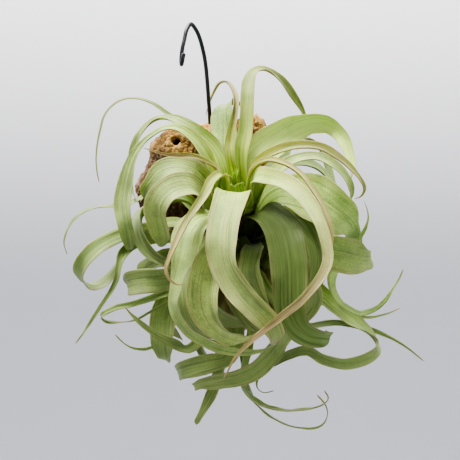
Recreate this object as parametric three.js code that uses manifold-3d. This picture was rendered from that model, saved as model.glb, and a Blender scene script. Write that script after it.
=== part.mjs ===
// A curly-leaved air plant glued to a chunk of cork bark, with a wire hook to hang it by.
// Millimetres, +Z up, +Y to the back. The origin is the hook's seat, inside the top of its bend.
import * as THREE from "three";
import { mergeVertices } from "three/addons/utils/BufferGeometryUtils.js";
import Module from "manifold-3d";

const CLEAR = 0.35; // gap kept between touching pieces

// Hanger
const WIRE_DIAMETER = 2;
const WIRE_SIDES = 8;
const WIRE_STEPS = 84;
// [across, back, up] from the turned-up tip over the crook and down through the cork
const WIRE_ROUTE = [
  [-3.4, -11.3, -12.8], [-4, -11.4, -15.6], [-4.4, -10.8, -17.6], [-4.6, -9.4, -18.4],
  [-4.7, -8, -17.6], [-4.7, -7.4, -15.5], [-4.2, -6.8, -11], [-3.2, -5, -6.5], [-2, -2.6, -1.6],
  [0, 0, 1], [2.4, 2.8, -1.8], [4.2, 5.4, -5.9], [5.7, 8, -11.4], [6.6, 10, -15.8],
  [7.2, 12, -20.2], [7.7, 14.5, -25.6], [8.4, 20, -35], [9, 26, -44], [9.2, 29.5, -52],
  [9.3, 31, -66], [9.4, 32.5, -82], [9.5, 34, -100], [9.5, 34.6, -103], [9.5, 36.6, -104.6],
  [9.5, 40, -105], [9.5, 44, -105],
];

// Cork chunk: its outline from the front, and how far its faces stand to the back
const CORK_OUTLINE = [
  [35, -46.5], [31, -43.3], [26, -44.8], [20, -46], [14, -47], [8, -48], [4, -47.8], [-2, -48.5],
  [-9, -49.5], [-13, -50], [-16, -52.3], [-17.5, -54.5], [-19.5, -59], [-20, -63], [-21.5, -67.5],
  [-23.5, -71], [-25.5, -75.5], [-26.5, -79], [-24, -85], [-17, -92], [-6, -99], [6, -102],
  [18, -103], [28, -99], [33, -90], [35, -78], [36, -66], [36, -54],
];
const CORK_MIDDLE = [5, -72];
const CORK_FRONT = 20;
const CORK_BACK = 47;
const CORK_COLUMNS = 56;
const CORK_ROWS = 18;
const CORK_CORNERS = 0.5; // 1 rounds the chunk like an egg, less squares its edges
const BARK_LUMPS = [1.1, 0.28]; // height of the bark's broad lumps, and their waves in a millimetre
const BARK_GRAIN = [0.6, 1.1]; // the same of its coarse grain
const BARK_AT_RIM = 0.03; // how far the bark's relief moves its outline, to a millimetre of reach
// Beetle holes in the cork's face: [across, up, radius]
const CORK_PITS = [[-7.4, -55, 2.1], [7, -51.5, 1.1]];
const PIT_DEPTH = 5;
const PIT_DETAIL = 2; // times its round shape is divided

// Glue bead between the stem and the cork
const GLUE_CENTRE = [20, 18, -95];
const GLUE_SIZE = [12, 9, 11];
const GLUE_DETAIL = 4; // times its round shape is divided

// Stem, from its growing tip in the crown down and back to its glued foot
const STEM_TIP = [21, -2, -76];
const STEM_FOOT = [23, 19, -122];
const STEM_RADIUS = 9;
const STEM_SIDES = 20;
const STEM_RINGS = 9;
const STEM_WIDE_TO = 26; // distance down the stem where it starts to narrow to its foot
const STEM_TAPER = 0.45;
const CROWN_LENGTH = 14; // over this much of its top the stem swells from its tip to its full radius
const TIP_SHARE = 0.12; // share of the full radius, squared, that the tip already has

// Heart leaves, one body with the stem: small young blades turned round its tip
const HEART_LEAVES = 5;
const HEART_TURN = 137.5; // degrees from one to the next
const HEART_HEIGHT = 9;
const HEART_SHORTER = 0.8; // each further one is this much shorter
const HEART_SPREAD = 0.9;
const HEART_WIDER = 0.3; // and leans out this much further
const HEART_SUNK = 4; // how deep its root sits in the stem
const HEART_PATH = [[0.3, 0.6], [0.7, 1.1], [1, 1.9]]; // shares of its height and spread
const HEART_PROFILE = [[0, 3.4], [0.4, 3.2], [0.8, 2], [1, 0.8]];
const HEART_CHANNEL = 35;

// Blades
const SIGHT_DISTANCE = 600; // leaf routes are set out as seen from this far in front of the crown
const SIGHT_CENTRE = [18.7, -97.9]; // across and up
const BLADE_THICKNESS = 0.7;
const FLAT_BASE_SHARE = 0.15; // a blade's channel deepens over this share of its length
const BLADE_STEP = 6; // length of one row of facets along a blade
const BLADE_LEAST_ROWS = 5;
const BEND_LENGTH = 6; // how strongly a blade turns its flat side to its bends
const SETTLING_ROUNDS = 60;

// Each leaf: name, turn round the stem in degrees (0 right, 90 back), distance down the stem,
// channel angle in degrees, how much its upper face turns to the front, [share of length, width]
// pairs, and the [across, back, up] points that it passes from its root outwards.
const LEAVES = [
  ["leaf_inner_left_high", 168, 36, 15, 0.3,
    [[0, 3.5], [0.1, 4.5], [0.35, 10], [0.65, 13], [0.85, 10], [1, 1]],
    [[5, 12, -110], [-3, 9, -112], [-11, 6, -112.5], [-18, 4, -114], [-23, 3, -117.5],
      [-25, 4, -122]]],
  ["leaf_inner_low", 5, 41, 15, 0.1, [[0, 3], [0.1, 4], [0.3, 10], [0.65, 10], [0.85, 7], [1, 1]],
    [[36, 12.5, -115], [40.5, 13, -124], [38.5, 15, -137], [31, 15.5, -147], [20, 15.5, -151.5],
      [9, 15.5, -151], [1, 16, -146]]],
  ["leaf_inner_right_dark", 312, 37, 15, 0.4, [[0, 3], [0.1, 4], [0.3, 11], [0.65, 12], [0.85, 8], [1, 1]],
    [[35, -3, -112.5], [43, -8, -114], [50, -13, -117.5], [56, -16, -124], [58, -17, -132],
      [54, -16, -139], [46, -14, -143]]],
  ["leaf_inner_left_low", 160, 40, 15, 0.2, [[0, 4], [0.1, 5], [0.3, 11], [0.65, 12], [0.85, 8], [1, 1]],
    [[4, 21, -119], [-3, 23, -126], [-9, 21, -135], [-9, 17, -144], [-4, 14, -151]]],
  ["leaf_inner_centre", 275, 31, 15, 0.3, [[0, 5], [0.3, 12], [0.6, 12], [0.85, 8], [1, 1]],
    [[21, -6, -108], [21, -17, -119], [23, -23, -131], [28, -22, -141], [35, -18, -147]]],
  ["leaf_inner_right", 312, 29, 15, 0.3, [[0, 5], [0.3, 11], [0.6, 12], [0.85, 8], [1, 1]],
    [[30, -8, -106], [29, -21, -111], [28, -30, -120], [31, -34, -130], [36, -34, -140],
      [40, -30, -147]]],
  ["leaf_inner_left", 222, 28, 15, 0.3, [[0, 5], [0.3, 11], [0.6, 12], [0.85, 8], [1, 1]],
    [[9, -6, -103], [2, -18, -110], [-3, -27, -120], [-3, -31, -130], [-1, -31, -140],
      [5, -28, -147], [12, -24, -150]]],
  ["leaf_rear_drop", 55, 41, 15, 0, [[0, 5], [0.3, 10], [0.6, 9], [0.85, 6], [1, 1]],
    [[34, 26, -122], [42, 32, -134], [45, 32, -147], [41, 27, -157], [34, 22, -161]]],
  ["leaf_rear_low", 125, 42, 15, 0, [[0, 5], [0.3, 10], [0.6, 9], [0.85, 6], [1, 1]],
    [[14, 28, -120], [6, 36, -132], [2, 38, -146], [6, 34, -157], [13, 28, -162]]],
  ["leaf_rear_left", 138, 34, 15, 0, [[0, 5], [0.3, 12], [0.6, 11], [0.85, 7], [1, 1]],
    [[8, 26, -108], [0, 36, -112], [-7, 42, -121], [-9, 43, -132], [-5, 40, -141]]],
  ["leaf_rear_centre", 92, 36, 15, 0, [[0, 5], [0.3, 14], [0.6, 12], [0.85, 7], [1, 1]],
    [[25, 34, -108], [28, 46, -112], [30, 54, -122], [30, 55, -134], [26, 50, -144],
      [20, 44, -148]]],
  ["leaf_rear_right", 62, 31, 15, 0, [[0, 5], [0.3, 13], [0.6, 12], [0.85, 7], [1, 1]],
    [[34, 28, -101], [47, 36, -104], [57, 42, -112], [60, 44, -124], [56, 41, -135]]],
  ["leaf_back_broad", 100, 9, 18, 0.1, [[0, 5], [0.3, 14], [0.65, 13], [0.85, 9], [1, 3]],
    [[17, 9, -60], [16, 13, -51], [15.5, 16, -43], [16.5, 19, -38.5], [19, 25, -37], [24, 31, -38]]],
  ["leaf_back_narrow", 80, 3, 50, 0, [[0, 4], [0.2, 7], [0.5, 4.5], [0.75, 2.5], [1, 0.8]],
    [[19, 0, -62], [19, 2, -55], [20, 4, -46], [21, 7, -37], [20, 12, -31], [17, 18, -27],
      [13.5, 24, -28], [10.5, 28, -33], [8.5, 30, -38], [7, 29, -43]]],
  ["leaf_back_tall", 50, 5, 25, 0.25, [[0, 4], [0.2, 8], [0.45, 7.5], [0.55, 6], [0.75, 5], [1, 0.8]],
    [[24.5, 2, -60], [26, 4, -50], [26.5, 6, -41], [27, 9, -33], [28, 13, -27], [30, 18, -22.5],
      [34.5, 23, -21], [40, 28, -23.5], [45, 33, -28], [49.5, 37, -34], [53, 40, -39.5],
      [55.5, 42, -46], [57, 42, -53]]],
  ["leaf_right_broad", 30, 8, 20, 0.9,
    [[0, 5], [0.1, 8], [0.25, 18], [0.42, 16], [0.58, 11], [0.75, 8], [0.9, 5], [1, 1]],
    [[29, 4, -65], [34.5, 7, -59], [42, 11, -53.5], [50, 15, -49], [58, 18, -46.5], [65.5, 19, -47],
      [71, 17, -51], [74.5, 14, -56.5], [76.5, 11, -63], [77.5, 8, -68.5], [77, 6, -73]]],
  ["leaf_right_long", 12, 6, 50, 0.25, [[0, 4], [0.2, 8], [0.6, 7], [0.85, 3], [1, 0.8]],
    [[31, -1, -68], [37, -3, -63], [44.5, -5, -59.5], [53, -6, -58], [62, -7, -59], [69.5, -8, -63],
      [76, -9, -68], [81, -10, -73.5], [83, -9, -78], [81.5, -7, -81.5], [78.5, -4, -83]]],
  ["leaf_right_under", 5, 13, 25, 0.3, [[0, 4.5], [0.2, 9], [0.6, 8], [0.85, 5], [1, 1]],
    [[36.5, 0, -77], [41.5, 0, -70], [47, 1, -66], [54, 1, -63.5], [61, 1, -63.5], [67, 1, -66],
      [71.5, 1, -69.5], [75.5, 1, -75], [77, 2, -80.5], [76, 5, -84.5]]],
  ["leaf_right_shaded", 26, 15, 20, 0.2, [[0, 5], [0.3, 12], [0.6, 10], [1, 1]],
    [[36, 8, -72], [43, 11, -67.5], [51, 12, -66], [58.5, 12, -67.5], [64, 11, -71.5],
      [67, 10, -77], [68, 10, -82], [66, 14, -86]]],
  ["leaf_right_hump", 45, 24, 15, 0.2, [[0, 5], [0.3, 10], [0.6, 8], [1, 1]],
    [[37, 17, -76], [43, 20, -62.5], [48.5, 23, -55.5], [54, 26, -54], [59.5, 29, -56.5],
      [63.5, 30, -62.5], [66, 29, -69], [68.5, 26, -75.5], [72.5, 22, -80], [75.5, 18, -83]]],
  ["leaf_right_thin", 345, 4, 55, 0.2, [[0, 4], [0.2, 5.5], [0.5, 4], [0.8, 3], [1, 0.8]],
    [[30, -10, -69], [37, -15, -65], [45.5, -20, -67], [53, -24, -72], [58.5, -28, -79],
      [63, -32, -86.5], [66, -35, -94], [67, -36, -101], [66.5, -36, -108], [65, -34, -113.5],
      [61.5, -30, -118]]],
  ["leaf_right_wing", 324, 19, 12, 0.6,
    [[0, 5], [0.06, 6], [0.15, 15], [0.27, 23], [0.36, 19], [0.44, 9], [0.55, 5.5], [0.75, 3.5], [1, 0.8]],
    [[37, -8, -83], [43, -11, -79.5], [50, -14.5, -79.5], [58, -17.5, -82], [65.5, -20, -86.5],
      [72, -19, -91.5], [76.5, -12, -96.5], [77, -3, -102.5], [72, 2, -109.5],
      [69.5, 1, -115], [67.5, -2, -121], [68, -5, -126.5], [71, -7, -132], [76, -8, -136],
      [81.5, -8, -138], [88, -8, -136], [93, -8, -132], [97, -8, -126], [100, -8, -121],
      [102, -8, -116.5]]],
  ["leaf_front_sweep", 335, 10, 20, 0.5,
    [[0, 5], [0.1, 10], [0.3, 8.5], [0.45, 6], [0.7, 4], [1, 0.8]],
    [[31, -14, -72.8], [38, -22, -72.7], [46, -30, -75.5], [52.5, -36, -80.5], [58, -42, -87.5],
      [62, -47, -95.5], [64.5, -51, -104], [65.5, -54, -112], [63.5, -57, -118.5], [58.5, -60, -125.5],
      [51.5, -61, -133], [42.5, -62, -140], [34, -62, -147], [26.5, -61, -153.5],
      [20.5, -60, -160], [18, -59, -165], [15.5, -58, -169.5]]],
  ["leaf_front_right_inner", 342, 24, 20, 0.3,
    [[0, 5], [0.1, 7], [0.3, 12], [0.6, 13], [0.85, 8], [1, 1]],
    [[39, -3, -91], [45, -8, -91], [51, -13, -93.5], [55.5, -17, -98.5], [58.5, -19, -104.5],
      [60, -20, -112], [59, -20, -120], [55, -20, -127]]],
  ["leaf_right_flag", 328, 28, 15, 0.5,
    [[0, 5], [0.2, 14], [0.5, 18], [0.61, 10], [0.7, 4], [1, 0.8]],
    [[45, -4, -94], [54.5, -10, -101], [64.5, -12, -107.3], [74, -11.5, -110], [81.5, -8, -112],
      [86, -1, -112], [85, 8, -110.5], [82, 12, -106.5], [81, 12, -102], [83.5, 11, -97],
      [85, 10, -92], [84.5, 9, -88], [83, 8, -84]]],
  ["leaf_right_tail", 325, 34, 20, 0.3, [[0, 5], [0.15, 12], [0.3, 11], [0.45, 5], [0.7, 3], [1, 0.8]],
    [[38, 3, -106], [46, 5, -104], [54, 1, -108.5], [59, -4, -114], [59.5, -8, -120],
      [56.5, -9, -126], [54, -8, -132.5], [54, -6, -139], [56.5, -5, -144], [62, -3, -143.5],
      [69, 0, -142.5], [77, 3, -143.5], [86, 4, -145.5], [94.5, 4, -149], [102.5, 3, -153.5],
      [112, 2, -161]]],
  ["leaf_right_loop", 330, 38, 20, 0.3,
    [[0, 5], [0.15, 9], [0.35, 9], [0.6, 6], [0.8, 5], [0.93, 2], [1, 0.8]],
    [[39, 8, -111], [51, 11, -114], [58, 8, -124], [64, 5, -130.5], [71.5, 2, -137],
      [79, -1, -142.5], [85.5, -5, -148], [89, -10, -153], [87, -16, -157.5], [80, -20, -161],
      [72.5, -22, -162], [64.5, -22, -160], [56.5, -17, -156], [48.5, -9, -157.5],
      [41.5, -4, -161], [35.5, -2, -165], [32, -1, -170], [32, 0, -174], [35, 1, -176],
      [39.5, 1, -175]]],
  ["leaf_front_centre", 268, 13, 15, 0.2,
    [[0, 6], [0.12, 17], [0.5, 15], [0.8, 11], [0.93, 9], [1, 3]],
    [[20.5, -19, -80.5], [19.5, -28, -82], [18, -37, -87], [16, -43.5, -94.5], [15, -48, -102.5],
      [15.5, -51, -111.5], [18, -53, -119], [22.5, -55, -126.5], [28.5, -57, -133.5],
      [34, -57, -139], [38.5, -55, -144], [40.5, -50, -149], [40, -44, -153]]],
  ["leaf_front_left_thin", 215, 4, 50, 0.2, [[0, 4], [0.2, 7], [0.6, 5], [0.85, 3], [1, 0.8]],
    [[15, -12, -72], [10, -20, -75], [6, -29, -81.5], [1.5, -38, -89], [-3, -44, -96.5],
      [-7, -49, -104.5], [-10, -52, -111.5], [-11.5, -53, -117], [-10, -53, -121.5],
      [-6.5, -52, -124], [-2.5, -52, -123.5]]],
  ["leaf_front_right_broad", 300, 25, 12, 0.3,
    [[0, 5], [0.08, 8], [0.2, 19], [0.45, 18], [0.7, 13], [0.85, 8], [1, 1]],
    [[31.5, -14, -90], [37, -24, -91.5], [42.5, -32, -96.5], [45.5, -38, -104], [47, -42, -112.5],
      [47.5, -44, -121], [47.5, -44.5, -129], [48, -44, -137], [51, -42, -144], [56.5, -38, -148.5],
      [63, -32, -150], [66, -24, -150], [66.5, -15, -148.5], [64.5, -8, -146]]],
  ["leaf_front_left_broad", 246, 24, 15, 0.3,
    [[0, 5], [0.07, 6.5], [0.2, 14], [0.33, 15], [0.48, 7], [0.75, 4.5], [1, 1]],
    [[13.5, -13, -94], [9.5, -22, -92.5], [4.5, -30, -93.5], [0, -36, -98], [-2.5, -39.5, -105],
      [-4, -42.5, -112.5], [-6, -44.5, -120], [-7, -46, -127], [-8, -47, -133.5], [-6, -48, -140],
      [-1.5, -48, -146.5], [6, -47, -151.5], [14.5, -45, -155], [23.5, -42, -156.5], [32, -38, -156],
      [39, -33, -153.5], [43.5, -28, -150]]],
  ["leaf_front_left_inner", 264, 28, 15, 0.3,
    [[0, 5], [0.1, 8], [0.3, 14], [0.6, 16], [0.8, 11], [1, 1]],
    [[16.5, -12, -102], [12.5, -22, -108.5], [8.5, -30, -115], [6.5, -35, -123], [6, -38, -131.5],
      [8, -38, -139.5], [13, -36, -146], [19.5, -32, -149.5], [26.5, -27, -150],
      [30.5, -23, -147.5]]],
  ["leaf_front_cup", 250, 35, 15, 0.2, [[0, 4.5], [0.3, 11], [0.7, 11], [1, 1]],
    [[12, -2, -112], [7.5, -7, -119], [8, -11, -128], [12.5, -15, -136.5], [19.5, -17, -141],
      [27.5, -15, -141.5], [31.5, -10, -138]]],
  ["leaf_lower_point", 262, 45, 15, 0.3, [[0, 4], [0.3, 7], [0.75, 6], [0.95, 3], [1, 1]],
    [[18, 5, -127], [16, 7, -141], [14.5, 6, -158], [12.5, 2, -170], [9.5, -3, -177.5],
      [6, -7, -184], [3, -9, -189.5], [2.5, -6, -191.5]]],
  ["leaf_middle_arch", 290, 36, 20, 0.3, [[0, 4], [0.2, 6], [0.5, 5], [0.75, 2], [1, 0.8]],
    [[26, -3, -111], [29, -9, -116], [33, -13, -120.5], [37, -14, -127], [42.5, -8, -133],
      [52.5, 6, -133], [61, 14, -132], [69.5, 16, -135], [77.5, 15, -138.5], [84, 13, -140],
      [91, 10, -139], [97, 8, -137], [101, 6, -135]]],
  ["leaf_left_arch", 136, 5, 25, 0.35,
    [[0, 4], [0.1, 6], [0.25, 10], [0.38, 8.5], [0.5, 6], [0.7, 4], [1, 0.8]],
    [[14.5, 5.5, -67], [10.5, 7.5, -59], [4.5, 8.5, -53], [-2, 10, -48.5], [-8.5, 13, -45],
      [-15, 15, -44.5], [-20, 17, -47], [-24.5, 17, -52], [-27.5, 17, -58], [-29, 16, -65],
      [-29, 14, -73], [-28, 12, -79.5], [-25.5, 9, -85]]],
  ["leaf_left_paddle", 164, 9, 25, 0.3,
    [[0, 4.5], [0.1, 6], [0.25, 9], [0.4, 5], [0.52, 5], [0.75, 9.5], [0.88, 8], [1, 1]],
    [[10, -1, -69], [5.5, -4, -60], [-0.5, -5, -53], [-6.5, -5, -49.5], [-13, -4, -49.5],
      [-18.5, -3, -52.5], [-24, -4, -57.5], [-28, -5, -64], [-30.5, -7, -71.5], [-32, -9, -79],
      [-32.5, -12, -87], [-31.5, -14, -94.5], [-30, -12, -102], [-29.5, -7, -106.5],
      [-29.5, -2, -107]]],
  ["leaf_left_far_arc", 128, 12, 25, 0.2, [[0, 4], [0.2, 5], [0.4, 2.6], [0.7, 1.8], [1, 0.8]],
    [[9, 11, -59.5], [2.5, 15, -52.5], [-5, 19, -46], [-11.5, 22, -42], [-18, 23, -37.5],
      [-25, 22, -35], [-31.5, 20, -35], [-37.5, 18, -38], [-41.5, 17, -43], [-43.5, 16, -50],
      [-45, 15, -57.5], [-45.5, 14, -65], [-45, 13, -70.5], [-44, 12, -75]]],
  ["leaf_left_dry", 184, 2.5, 55, 0, [[0, 3], [0.2, 5], [0.6, 3.5], [1, 0.8]],
    [[12, -8, -69], [6.5, -13.5, -65], [0.5, -17, -62.5], [-6, -18, -62], [-12.5, -18, -61.5],
      [-18, -18, -60], [-23, -17, -58.5]]],
  ["leaf_left_upper_broad", 186, 15, 20, 0.5,
    [[0, 4.5], [0.12, 7], [0.35, 16], [0.6, 16], [0.85, 10], [1, 2]],
    [[8, -1.5, -84], [4, -6, -76], [-0.5, -9.5, -71.5], [-7, -10.5, -69.5], [-13.5, -9.5, -71],
      [-18, -7, -76], [-21, -3, -81], [-21.5, 2, -84]]],
  ["leaf_left_lower_broad", 211, 21, 18, 0.5,
    [[0, 4.5], [0.13, 6.5], [0.33, 15], [0.6, 14], [0.8, 10], [1, 2]],
    [[8, -8, -90], [5, -15, -81.5], [-0.5, -20.5, -77], [-7.5, -25, -77.5], [-13.5, -27, -81.5],
      [-16.5, -26, -87.5], [-16, -23, -94], [-14.5, -19.5, -100], [-14, -14, -104.5],
      [-14.5, -8, -106]]],
  ["leaf_left_fold", 186, 25, 40, 0.3, [[0, 4], [0.25, 8.5], [0.5, 11.5], [0.75, 9], [0.9, 6], [1, 1]],
    [[-3, 1, -84], [-12.5, 2, -86], [-20, 1.5, -88.5], [-24, -2, -92.5], [-24.5, -5.5, -98.5],
      [-22.5, -8, -104], [-18, -10, -109.5], [-11, -12, -113.5], [-5, -13, -116]]],
  ["leaf_left_behind", 150, 20, 20, 0.3, [[0, 5], [0.3, 9], [0.7, 8], [1, 1]],
    [[2, 12, -67], [-7.5, 14, -66], [-15, 14, -68], [-20, 12, -74], [-22, 9, -80],
      [-24.5, 6, -84.5]]],
  ["leaf_left_hoop", 190, 31, 12, 0.2, [[0, 5], [0.2, 7], [0.6, 8], [0.85, 9], [0.94, 7], [1, 2]],
    [[4, 11, -98], [-7.5, 10, -94.5], [-19.5, 6, -97], [-29.5, 0, -99], [-38, -6, -102],
      [-45.5, -10, -106.5], [-51.5, -11, -113], [-53.5, -7, -118.5], [-50.5, 0, -123.5],
      [-45, 6, -124], [-40, 9, -120], [-35.5, 8, -114], [-33, 6, -108.5]]],
  ["leaf_left_spike", 200, 35, 20, 0.4,
    [[0, 4], [0.25, 7], [0.5, 6], [0.6, 3.2], [0.8, 2], [1, 0.8]],
    [[-10, 10, -101], [-20.5, 10, -102], [-29, 7, -105], [-33.5, 3, -110], [-35, -1, -116],
      [-36, -4, -121.5], [-38.5, -6, -127], [-42.5, -8, -133], [-47, -9, -140],
      [-51.5, -10, -147], [-55.5, -10, -152.5]]],
  ["leaf_left_feeler", 172, 28, 20, 0.2, [[0, 4], [0.3, 5], [0.5, 3], [0.7, 1.8], [1, 0.8]],
    [[-10, 14, -80], [-19.5, 14, -81], [-26, 12, -83.5], [-31.5, 10, -86.5], [-38, 9, -86.5],
      [-44.5, 8, -87], [-51.5, 7, -89], [-56.5, 6, -93.5], [-60, 5, -99], [-61, 5, -104],
      [-59.5, 6, -109.5]]],
  ["leaf_low_left_broad", 230, 32, 12, 0.5, [[0, 5], [0.3, 10], [0.65, 12], [0.85, 9], [1, 2]],
    [[4.5, -4, -105], [-0.5, -12, -113.5], [-7, -17, -119.5], [-15, -20, -122],
      [-22.5, -21, -122.5], [-29, -17, -123.5], [-30.5, -8, -124.5], [-28.5, 0, -126],
      [-23.5, 6, -127]]],
  ["leaf_low_left_coil", 226, 40, 20, 0.3, [[0, 4], [0.25, 5], [0.5, 3], [0.8, 2.2], [1, 0.8]],
    [[4, 1, -117], [-4.5, -6, -124], [-12.5, -11, -128], [-20.5, -13, -131], [-28.5, -14, -133.5],
      [-35.5, -14, -135], [-41, -13, -137.5], [-43, -9, -139.5], [-41, -5, -141.5],
      [-35, -3, -142], [-28.5, -2, -141.5], [-21.5, -1, -138], [-15, 1, -134.5],
      [-9, 4, -131.5]]],
  ["leaf_low_left_rise", 214, 44, 20, 0.4, [[0, 4], [0.3, 7], [0.6, 6], [0.85, 3], [1, 0.8]],
    [[9, 9, -132], [6, 3, -146], [2.5, -4, -153.5], [-2.5, -10, -155.5], [-9.5, -15, -152],
      [-17.5, -18, -147.5], [-24, -19, -142.5], [-29, -19, -138], [-32, -19, -134.5]]],
  ["leaf_low_left_drop", 190, 38, 12, 0.5,
    [[0, 5], [0.25, 11], [0.42, 14], [0.53, 12], [0.61, 7], [0.7, 2.5], [1, 0.8]],
    [[1, 16, -117], [-6, 14, -126], [-12, 9, -136], [-13.5, 5, -145], [-13.5, 3, -153],
      [-13, 6, -159], [-12, 13, -160], [-14, 19, -157], [-18, 21, -154], [-22.5, 20, -155],
      [-28, 19, -154.5], [-32.5, 18, -152], [-36.5, 16, -148]]],
  ["leaf_low_left_tongue", 268, 40, 12, 0.5, [[0, 5], [0.3, 8], [0.7, 10], [0.88, 8], [1, 1]],
    [[22, -1, -134], [21.5, -7, -150], [17, -12, -160], [9.5, -15, -162], [2.5, -16, -163.5],
      [-3.5, -14, -165], [-6, -6, -166.5], [-4, 2, -167.5]]],
  ["leaf_low_crescent", 305, 41, 15, 0.4, [[0, 4.5], [0.3, 8], [0.6, 10], [0.8, 8], [0.93, 4], [1, 1]],
    [[33, 5, -118], [41, 8, -122], [46, 8, -131], [47, 2, -144], [42, -8, -152.5], [37, -15, -159],
      [30, -20, -165.5], [21, -23, -169], [12, -24, -170.5], [5.5, -21, -171.5], [2, -16, -173],
      [2, -8, -172.5]]],
  ["leaf_low_right_curl", 292, 43, 20, 0.2, [[0, 4], [0.35, 5], [0.6, 5], [0.85, 2.5], [1, 0.8]],
    [[29, 8, -134], [27.5, 6, -153], [25, 5, -165], [25, 4, -173.5], [29.5, 0, -179.5],
      [36, -3, -183], [43.5, -5, -184.5], [52, -6, -184.5], [59, -6, -183.5], [64, -5, -181.5],
      [66, -4, -178.5], [64, -3, -175]]],
  ["leaf_low_right_whip", 95, 44, 20, 0, [[0, 4], [0.35, 4], [0.6, 2.8], [0.85, 1.6], [1, 0.8]],
    [[23.5, 29, -125], [24, 27, -138], [25, 21, -158], [27.5, 16, -172.5], [31, 12, -180.5],
      [36, 8, -185.5], [42, 6, -189.5], [49.5, 4, -192.5], [56.5, 3, -193], [62.5, 3, -191.5],
      [65.5, 3, -187], [65, 4, -183], [60.5, 5, -177]]],
];

const finishes = {
  leaf: { color: 0xb7c493, roughness: 0.75, metalness: 0 },
  stem: { color: 0xc3cf6a, roughness: 0.7, metalness: 0 },
  cork: { color: 0x8a5a36, roughness: 0.95, metalness: 0 },
  wire: { color: 0x17171a, roughness: 0.45, metalness: 0.3 },
  glue: { color: 0xb9a27a, roughness: 0.35, metalness: 0 },
};

const wasm = await Module();
wasm.setup();

const BACK = new THREE.Vector3(0, 1, 0);
const vector = (point) => new THREE.Vector3(...point);
const stemAxis = vector(STEM_FOOT).sub(vector(STEM_TIP)).normalize();
const STEM_LENGTH = vector(STEM_FOOT).distanceTo(vector(STEM_TIP));
const stemRight = new THREE.Vector3(1, 0, 0).projectOnPlane(stemAxis).normalize();
const stemBack = new THREE.Vector3().crossVectors(stemRight, stemAxis).normalize();

function toSolid(geometry) {
  geometry.deleteAttribute("normal");
  geometry.deleteAttribute("uv");
  const merged = mergeVertices(geometry, 1e-4);
  return new wasm.Manifold(new wasm.Mesh({
    numProp: 3,
    vertProperties: new Float32Array(merged.attributes.position.array),
    triVerts: new Uint32Array(merged.index.array),
  }));
}

function toGeometry(solid) {
  const { vertProperties, triVerts } = solid.getMesh();
  const geometry = new THREE.BufferGeometry();
  geometry.setAttribute("position", new THREE.BufferAttribute(vertProperties, 3));
  geometry.setIndex(new THREE.BufferAttribute(triVerts, 1));
  geometry.computeVertexNormals();
  return geometry;
}

function piece(name, geometry, finish) {
  const mesh = new THREE.Mesh(geometry, new THREE.MeshStandardMaterial(finishes[finish]));
  mesh.name = name;
  return mesh;
}

// A point set out on the crown's plane moves out along its sight line as it goes back.
function placed([across, back, up]) {
  const spread = 1 + back / SIGHT_DISTANCE;
  const [middle, level] = SIGHT_CENTRE;
  return new THREE.Vector3(middle + (across - middle) * spread, back, level + (up - level) * spread);
}

function stemRadiusAt(down) {
  const foot = 1 - STEM_TAPER * THREE.MathUtils.smoothstep(down, STEM_WIDE_TO, STEM_LENGTH);
  return STEM_RADIUS * foot * Math.sqrt(Math.min(1, TIP_SHARE + down / CROWN_LENGTH));
}

function outwards(turn) {
  const angle = THREE.MathUtils.degToRad(turn);
  return stemRight.clone().multiplyScalar(Math.cos(angle))
    .addScaledVector(stemBack, Math.sin(angle));
}

function leafRoot(turn, down) {
  return vector(STEM_TIP).addScaledVector(stemAxis, down)
    .addScaledVector(outwards(turn), stemRadiusAt(down) + CLEAR + BLADE_THICKNESS / 2);
}

function widthAt(profile, share) {
  const next = Math.max(1, profile.findIndex(([end]) => end >= share));
  const [from, start] = profile[next - 1];
  const [to, end] = profile[next];
  return THREE.MathUtils.lerp(start, end, THREE.MathUtils.smoothstep(share, from, to));
}

// The blade's cross direction at every row: carried along from the root, and turned so that
// the blade bends over its flat side wherever its route curves.
function crossDirections(points, tangents, start, facing) {
  const step = points[1].distanceTo(points[0]);
  const bends = tangents.map((tangent, row) => {
    const before = tangents[Math.max(0, row - 1)];
    const after = tangents[Math.min(tangents.length - 1, row + 1)];
    return new THREE.Vector3().crossVectors(tangent, after.clone().sub(before))
      .multiplyScalar(BEND_LENGTH / (2 * step));
  });
  const across = [start.clone().projectOnPlane(tangents[0]).normalize()];
  for (let row = 1; row < points.length; row += 1) {
    across.push(across[row - 1].clone().projectOnPlane(tangents[row]).normalize());
  }
  for (let round = 0; round < SETTLING_ROUNDS; round += 1) {
    for (let row = 1; row < points.length; row += 1) {
      const after = across[Math.min(points.length - 1, row + 1)];
      const pull = bends[row].clone().multiplyScalar(Math.sign(bends[row].dot(across[row])) || 1)
        .addScaledVector(new THREE.Vector3().crossVectors(tangents[row], BACK), facing);
      across[row] = across[row - 1].clone().add(after).add(pull)
        .projectOnPlane(tangents[row]).normalize();
    }
  }
  return across;
}

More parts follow.
